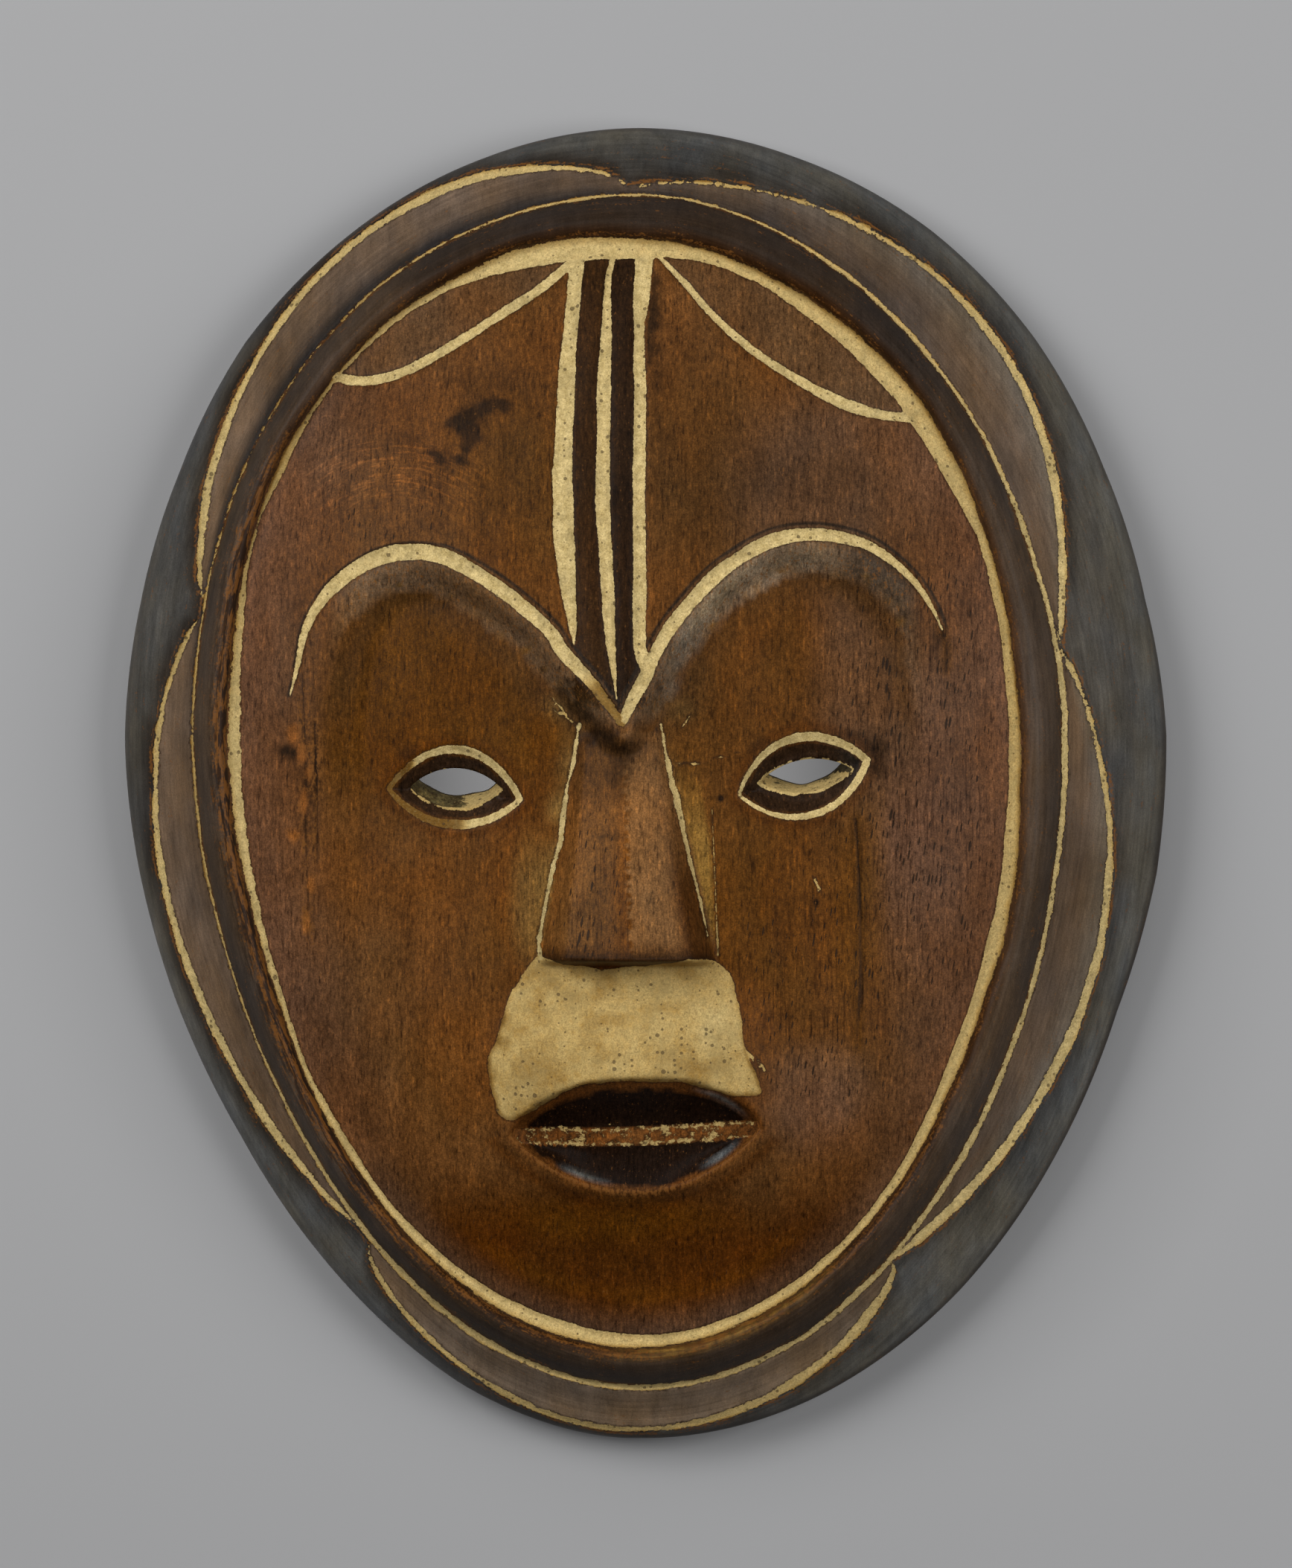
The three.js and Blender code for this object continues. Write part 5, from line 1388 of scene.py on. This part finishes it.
# %% [markdown]
# ## Stained wood
# The stained wood shows short upright fibres, broad mottling, short dark pores and a few long dark
# fibres, and over the left brow the faint arcs of a scraper. On the roll and the flank fine streaks
# run round with the strokes of the stain brush. All of it is noise, stretched along the grain, the
# arcs or the ring. The piece carries its own ring coordinates for that, because a pattern on plain
# coordinates would cut across the curve.

# %% Helpers for the material
carved_wood = bpy.data.materials.new("carved_wood")
carved_wood.use_nodes = True
tree = carved_wood.node_tree
tree.nodes.clear()


def node(kind, links=(), **settings):
    """A shader node with its settings, and values or links for its sockets."""
    made = tree.nodes.new(kind)
    for name, value in settings.items():
        setattr(made, name, value)
    for socket, value in dict(links).items():
        if isinstance(value, bpy.types.NodeSocket):
            tree.links.new(value, made.inputs[socket])
        else:
            made.inputs[socket].default_value = value
    return made


def maths(operation, *values, limit=False):
    made = node("ShaderNodeMath", dict(enumerate(values)), operation=operation, use_clamp=limit)
    return made.outputs[0]


def times(first, *others):
    for other in others:
        first = maths("MULTIPLY", first, other)
    return first


def spread(value, low, high, out_low=0.0, out_high=1.0):
    made = node("ShaderNodeMapRange", {"Value": value, "From Min": low, "From Max": high,
                                       "To Min": out_low, "To Max": out_high})
    return made.outputs["Result"]


def vary(pattern_value, low, high):
    """The usual range of a noise, stretched to run from low to high."""
    return spread(pattern_value, 0.3, 0.7, low, high)


def colour_mix(share, a, b, how="MIX"):
    made = node("ShaderNodeMix", data_type="RGBA", blend_type=how, clamp_factor=True)
    for index, value in ((0, share), (6, a), (7, b)):
        if isinstance(value, bpy.types.NodeSocket):
            tree.links.new(value, made.inputs[index])
        else:
            made.inputs[index].default_value = (*value, 1.0) if index else value
    return made.outputs[2]


def attribute(name, output="Fac"):
    return node("ShaderNodeAttribute", attribute_name=name).outputs[output]


print("material", carved_wood.name, "started")

# %% Patterns for the wood
coordinates = node("ShaderNodeTexCoord").outputs["Object"]


def noise(scale, detail=4.0, rough=0.55, offset=(0, 0, 0), on=None):
    """Noise over the piece, with a scale for each direction, per metre."""
    placed = node("ShaderNodeMapping", {"Vector": on or coordinates, "Scale": scale, "Location": offset})
    return node("ShaderNodeTexNoise", {"Vector": placed.outputs[0], "Scale": 1.0, "Detail": detail,
                                       "Roughness": rough}).outputs["Fac"]


paint, gold, wear = attribute("paint"), attribute("gold"), attribute("wear")
rub, pores, gloss, outer = attribute("rub"), attribute("pores"), attribute("gloss"), attribute("outer")
ring_coordinates = attribute("sweep", "Vector")
on_face = spread(outer, 0.0, 1.0, 1.0, 0.0)


def by_place(face_value, ring_value):
    """One value on the face and another on the roll, the crescents and the flank."""
    return node("ShaderNodeMix", {0: outer, 2: face_value, 3: ring_value}).outputs[0]


upright = noise((1500, 480, 800), 3.0, 0.6)
swept = noise((1, 1, 1.5), 4.0, 0.6, on=ring_coordinates)
fibre = by_place(upright, swept)
fine = noise((1500, 260, 600), 2.0, 0.5, (5, 2, 1))
streak = noise((430, 34, 160), 4.0, 0.55)
speck = noise((900, 700, 900), 3.0, 0.6, (3, 8, 1))
mottle = noise((95, 70, 95), 5.0, 0.62)
cloud = noise((34, 24, 34), 3.0, 0.5)
hue = noise((52, 30, 52), 3.0, 0.5, (2, 7, 4))
grit = noise((2600, 2600, 2600), 2.0, 0.5)
flake = noise((520, 520, 520), 4.0, 0.65)
chip = noise((1500, 1500, 1500), 2.0, 0.5, (1, 4, 2))
print("patterns for the wood ready")

# %% Wood
fibre_light = by_place(vary(upright, 0.68, 1.32), vary(swept, 0.8, 1.2))
face_grit = times(vary(speck, 0.8, 1.2), vary(grit, 0.68, 1.32))
grain_light = by_place(face_grit, vary(grit, 0.84, 1.16))
light = times(vary(mottle, 0.8, 1.2), fibre_light, grain_light,
              spread(streak, 0.32, 0.68, 0.86, 1.14), spread(cloud, 0.35, 0.65, 0.91, 1.09))
warmth = colour_mix(spread(hue, 0.36, 0.64), (0.95, 1.01, 1.02), (1.05, 0.99, 0.8))
wood = colour_mix(1.0, colour_mix(1.0, attribute("stain_and_shading", "Color"), light, "MULTIPLY"), warmth, "MULTIPLY")
fleck_share = times(spread(fine, 0.59, 0.73), spread(outer, 0, 1, 0.9, 0.25))
wood = colour_mix(fleck_share, wood, (1.7, 1.6, 1.4), "MULTIPLY")
nick_share = times(spread(fine, 0.41, 0.28), spread(outer, 0, 1, 0.9, 0.3))
wood = colour_mix(nick_share, wood, (0.4, 0.38, 0.38), "MULTIPLY")
print("stained wood mixed")

# %% Pores and long fibres
PORE_TILT = 0.16
PORE_BLACK = (0.018, 0.011, 0.007)
tilted = node("ShaderNodeMapping", {"Vector": coordinates, "Rotation": (0, 0, PORE_TILT)}).outputs[0]
pore_place = node("ShaderNodeMapping", {"Vector": tilted, "Scale": (980, 190, 1)}).outputs[0]
pore_cells = node("ShaderNodeTexVoronoi", {"Vector": pore_place, "Scale": 1.0}, voronoi_dimensions="2D")
pore_pick = node("ShaderNodeSeparateColor", {0: pore_cells.outputs["Color"]}).outputs[0]
pore_crowd = spread(noise((120, 60, 120), 3.0, 0.6, (6, 6, 1)), 0.36, 0.62, 0.45, 1.1)
pore_size = times(spread(pore_pick, 0.2, 1.0, 0.0, 0.35), spread(pores, 0.0, 0.8, 0.5, 1.0), pore_crowd)
pore_mark = spread(maths("SUBTRACT", pore_size, pore_cells.outputs["Distance"]), 0.0, 0.07)
pore_mark = times(pore_mark, on_face)
wood = colour_mix(times(pore_mark, spread(pores, 0.0, 0.3, 0.0, 0.86)), wood, PORE_BLACK)
long_fibres = noise((1700, 75, 1), 2.0, 0.5, (3, 1, 2))
fibre_share = times(spread(long_fibres, 0.54, 0.64), spread(pores, 0.1, 0.5, 0.25, 0.7), on_face)
wood = colour_mix(fibre_share, wood, (0.45, 0.42, 0.42), "MULTIPLY")
print("pores and long fibres ready")

# %% Arcs of the scraper, rubbed wood and brush strokes
SCRAPER_MIDDLE = (-0.064, 0.050, 0.0)
SCRAPER_REACH = 0.031
from_middle = node("ShaderNodeVectorMath", {0: coordinates, 1: SCRAPER_MIDDLE}, operation="SUBTRACT")
swing_axes = node("ShaderNodeSeparateXYZ", {0: from_middle.outputs[0]}).outputs
swing = maths("ARCTAN2", swing_axes["X"], swing_axes["Y"])
squares = [maths("POWER", swing_axes[axis], 2.0) for axis in ("X", "Y")]
reach = maths("SQRT", maths("ADD", *squares))
arc_place = node("ShaderNodeCombineXYZ", {"X": times(reach, 1300.0), "Y": times(swing, 5.0)}).outputs[0]
arcs = node("ShaderNodeTexNoise", {"Vector": arc_place, "Scale": 1.0, "Detail": 2.0}).outputs["Fac"]
off_reach = maths("ABSOLUTE", maths("SUBTRACT", reach, SCRAPER_REACH))
near_arcs = times(spread(off_reach, 0.004, 0.012, 1.0, 0.0),
                  spread(maths("ABSOLUTE", swing), 0.4, 0.9, 0.8, 0.0))
arc_share = times(spread(arcs, 0.52, 0.62), near_arcs, on_face)
wood = colour_mix(arc_share, wood, (1.9, 1.75, 1.5), "MULTIPLY")
short_strokes = noise((3.4, 3.4, 1.0), 3.0, 0.6, (1, 9, 4), on=ring_coordinates)
rub_grain = by_place(upright, short_strokes)
rub_noise = maths("ADD", vary(rub_grain, -0.45, 0.45), vary(chip, -0.35, 0.35))
rubbed = spread(maths("ADD", rub, rub_noise), 0.4, 0.85)
wood = colour_mix(times(rubbed, 0.8), wood, (0.17, 0.066, 0.014))
strokes = noise((3.0, 3.0, 1.1), 3.0, 0.6, (7, 3, 2), on=ring_coordinates)
stroke_mark = times(spread(strokes, 0.47, 0.55), pores, outer)
wood = colour_mix(times(stroke_mark, 0.92), wood, (0.014, 0.009, 0.007))
print("wood mixed")

# %% [markdown]
# ## Worn paint
# The paint is matt and crumbly. Its edge comes from the distance stored in the mesh plus noise, so it
# is sharp but never straight, and where the paint is worn the noise eats deeper. Inside it has paler
# and greyer patches, golden film where it is thin, and dark pits. Just outside, a fine dark line is
# painted in as the shade at the edge of the cut.

# %% Paint
ragged = maths("ADD", vary(flake, -0.13, 0.13), vary(chip, -0.1, 0.1))
ragged = times(ragged, spread(outer, 0.0, 1.0, 1.0, 1.7))
eaten = times(wear, spread(noise((300, 300, 300), 4.0, 0.7, (4, 4, 4)), 0.4, 0.66, 0.0, -1.3))
paint_edge = maths("ADD", maths("ADD", paint, ragged), eaten)
paint_mark = spread(paint_edge, -0.04, 0.08)
pit_cells = node("ShaderNodeTexVoronoi", {"Vector": coordinates, "Scale": 640.0})
pit_pick = node("ShaderNodeSeparateColor", {0: pit_cells.outputs["Color"]}).outputs[0]
pit_size = times(spread(pit_pick, 0.3, 1.0, 0.0, 0.36), spread(mottle, 0.4, 0.6, 0.5, 1.2))
pit_mark = spread(maths("SUBTRACT", pit_size, pit_cells.outputs["Distance"]), 0.0, 0.08)
# Painted shade: a fine dark line just outside the paint, at the edge of the cut.
edge_shade = times(spread(paint_edge, -0.55, -0.1), spread(flake, 0.35, 0.6, 0.15, 0.85))
wood = colour_mix(edge_shade, wood, (0.020, 0.010, 0.005))
cream = colour_mix(spread(flake, 0.35, 0.62), (0.46, 0.34, 0.135), (0.64, 0.49, 0.22))
grey_share = times(spread(noise((210, 150, 210), 4.0, 0.6, (9, 1, 3)), 0.52, 0.7), 0.5)
cream = colour_mix(grey_share, cream, (0.28, 0.215, 0.095))
golden = spread(maths("ADD", gold, spread(flake, 0.35, 0.65, -0.22, 0.22)), 0.2, 1.1)
cream = colour_mix(golden, cream, (0.40, 0.245, 0.065))
cream = colour_mix(spread(gold, 0.75, 1.2), cream, (0.15, 0.075, 0.015))
cream_grain = times(vary(grit, 0.78, 1.22), vary(speck, 0.86, 1.14))
cream = colour_mix(1.0, cream, cream_grain, "MULTIPLY")
cream = colour_mix(spread(mottle, 0.52, 0.66, 0, 0.4), cream, (0.32, 0.235, 0.095))
cream = colour_mix(spread(chip, 0.56, 0.72, 0, 0.55), cream, (0.24, 0.16, 0.06))
cream = colour_mix(times(pit_mark, 0.7), cream, (0.07, 0.045, 0.022))
surface = colour_mix(paint_mark, wood, cream)
print("paint mixed")

# %% Sheen and the small unevenness of the surface
rough = maths("SUBTRACT", vary(fibre, 0.42, 0.54), times(gloss, 0.16))
rough = maths("ADD", rough, times(paint_mark, 0.3), limit=True)
height = times(fibre, 0.00004)
height = maths("ADD", height, times(mottle, spread(paint_mark, 0, 1, 0.0002, 0.00006)))
height = maths("SUBTRACT", height, times(pore_mark, 0.00012))
height = maths("ADD", height, times(paint_mark, chip, 0.00012))
height = maths("SUBTRACT", height, times(paint_mark, pit_mark, 0.00015))
bump = node("ShaderNodeBump", {"Height": height, "Distance": 1.0, "Strength": 0.8})
shader = node("ShaderNodeBsdfPrincipled", {"Base Color": surface, "Roughness": rough,
                                           "Normal": bump.outputs[0], "Specular IOR Level": 0.047})
node("ShaderNodeOutputMaterial", {"Surface": shader.outputs[0]})
mesh.materials.append(carved_wood)
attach(mask, "root")
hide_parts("mask")
print("material with", len(tree.nodes), "nodes")

# %% [markdown]
# ## Floor, light and camera
# The mask lies on a plain pale floor under soft light from both sides, a little stronger from the
# left. The camera hangs straight over it with a long lens, so the sides hardly show, as in the
# photograph.

# %% Studio
bpy.ops.mesh.primitive_plane_add(size=6)
floor = bpy.context.object
floor.name = "floor"
pale_floor = bpy.data.materials.new("pale_floor")
pale_floor.use_nodes = True
floor_shader = pale_floor.node_tree.nodes["Principled BSDF"]
floor_shader.inputs["Base Color"].default_value = (0.36, 0.36, 0.365, 1)
floor_shader.inputs["Roughness"].default_value = 0.9
floor_shader.inputs["Specular IOR Level"].default_value = 0.1
floor.data.materials.append(pale_floor)


def soft_light(name, place, size, power, target=None):
    """An area light that faces its target, or faces down if it has none."""
    bpy.ops.object.light_add(type="AREA", location=place)
    light = bpy.context.object
    light.name = name
    light.data.shape = "RECTANGLE"
    light.data.size, light.data.size_y = size
    light.data.energy = power
    if target:
        aim = Vector(target) - Vector(place)
        light.rotation_euler = aim.to_track_quat("-Z", "Y").to_euler()


MASK_MIDDLE = (0, 0, 0.03)
soft_light("left_window", (-1.0, 0.55, 1.2), (0.9, 0.9), 19.5, MASK_MIDDLE)
soft_light("right_window", (1.1, 0.1, 1.25), (1.0, 1.0), 15.5, MASK_MIDDLE)
soft_light("top_window", (0.0, 1.25, 1.35), (1.0, 0.8), 5, MASK_MIDDLE)
soft_light("light_behind_the_eyes", (-0.004, 0.002, 0.029), (0.11, 0.05), 0.022)
world = bpy.data.worlds.new("studio")
bpy.context.scene.world = world
world.use_nodes = True
room = world.node_tree.nodes["Background"]
room.inputs["Color"].default_value = (0.62, 0.63, 0.65, 1)
room.inputs["Strength"].default_value = 0.08

CAMERA_HEIGHT = 1.718
bpy.ops.object.camera_add(location=(0.00019, 0, CAMERA_HEIGHT), rotation=(0, 0, 0))
camera = bpy.context.object
camera.data.sensor_fit = "VERTICAL"
camera.data.sensor_height = 36
camera.data.lens = 150
bpy.context.scene.camera = camera
bpy.context.scene.view_settings.view_transform = "Standard"
print("camera at", CAMERA_HEIGHT, "m")
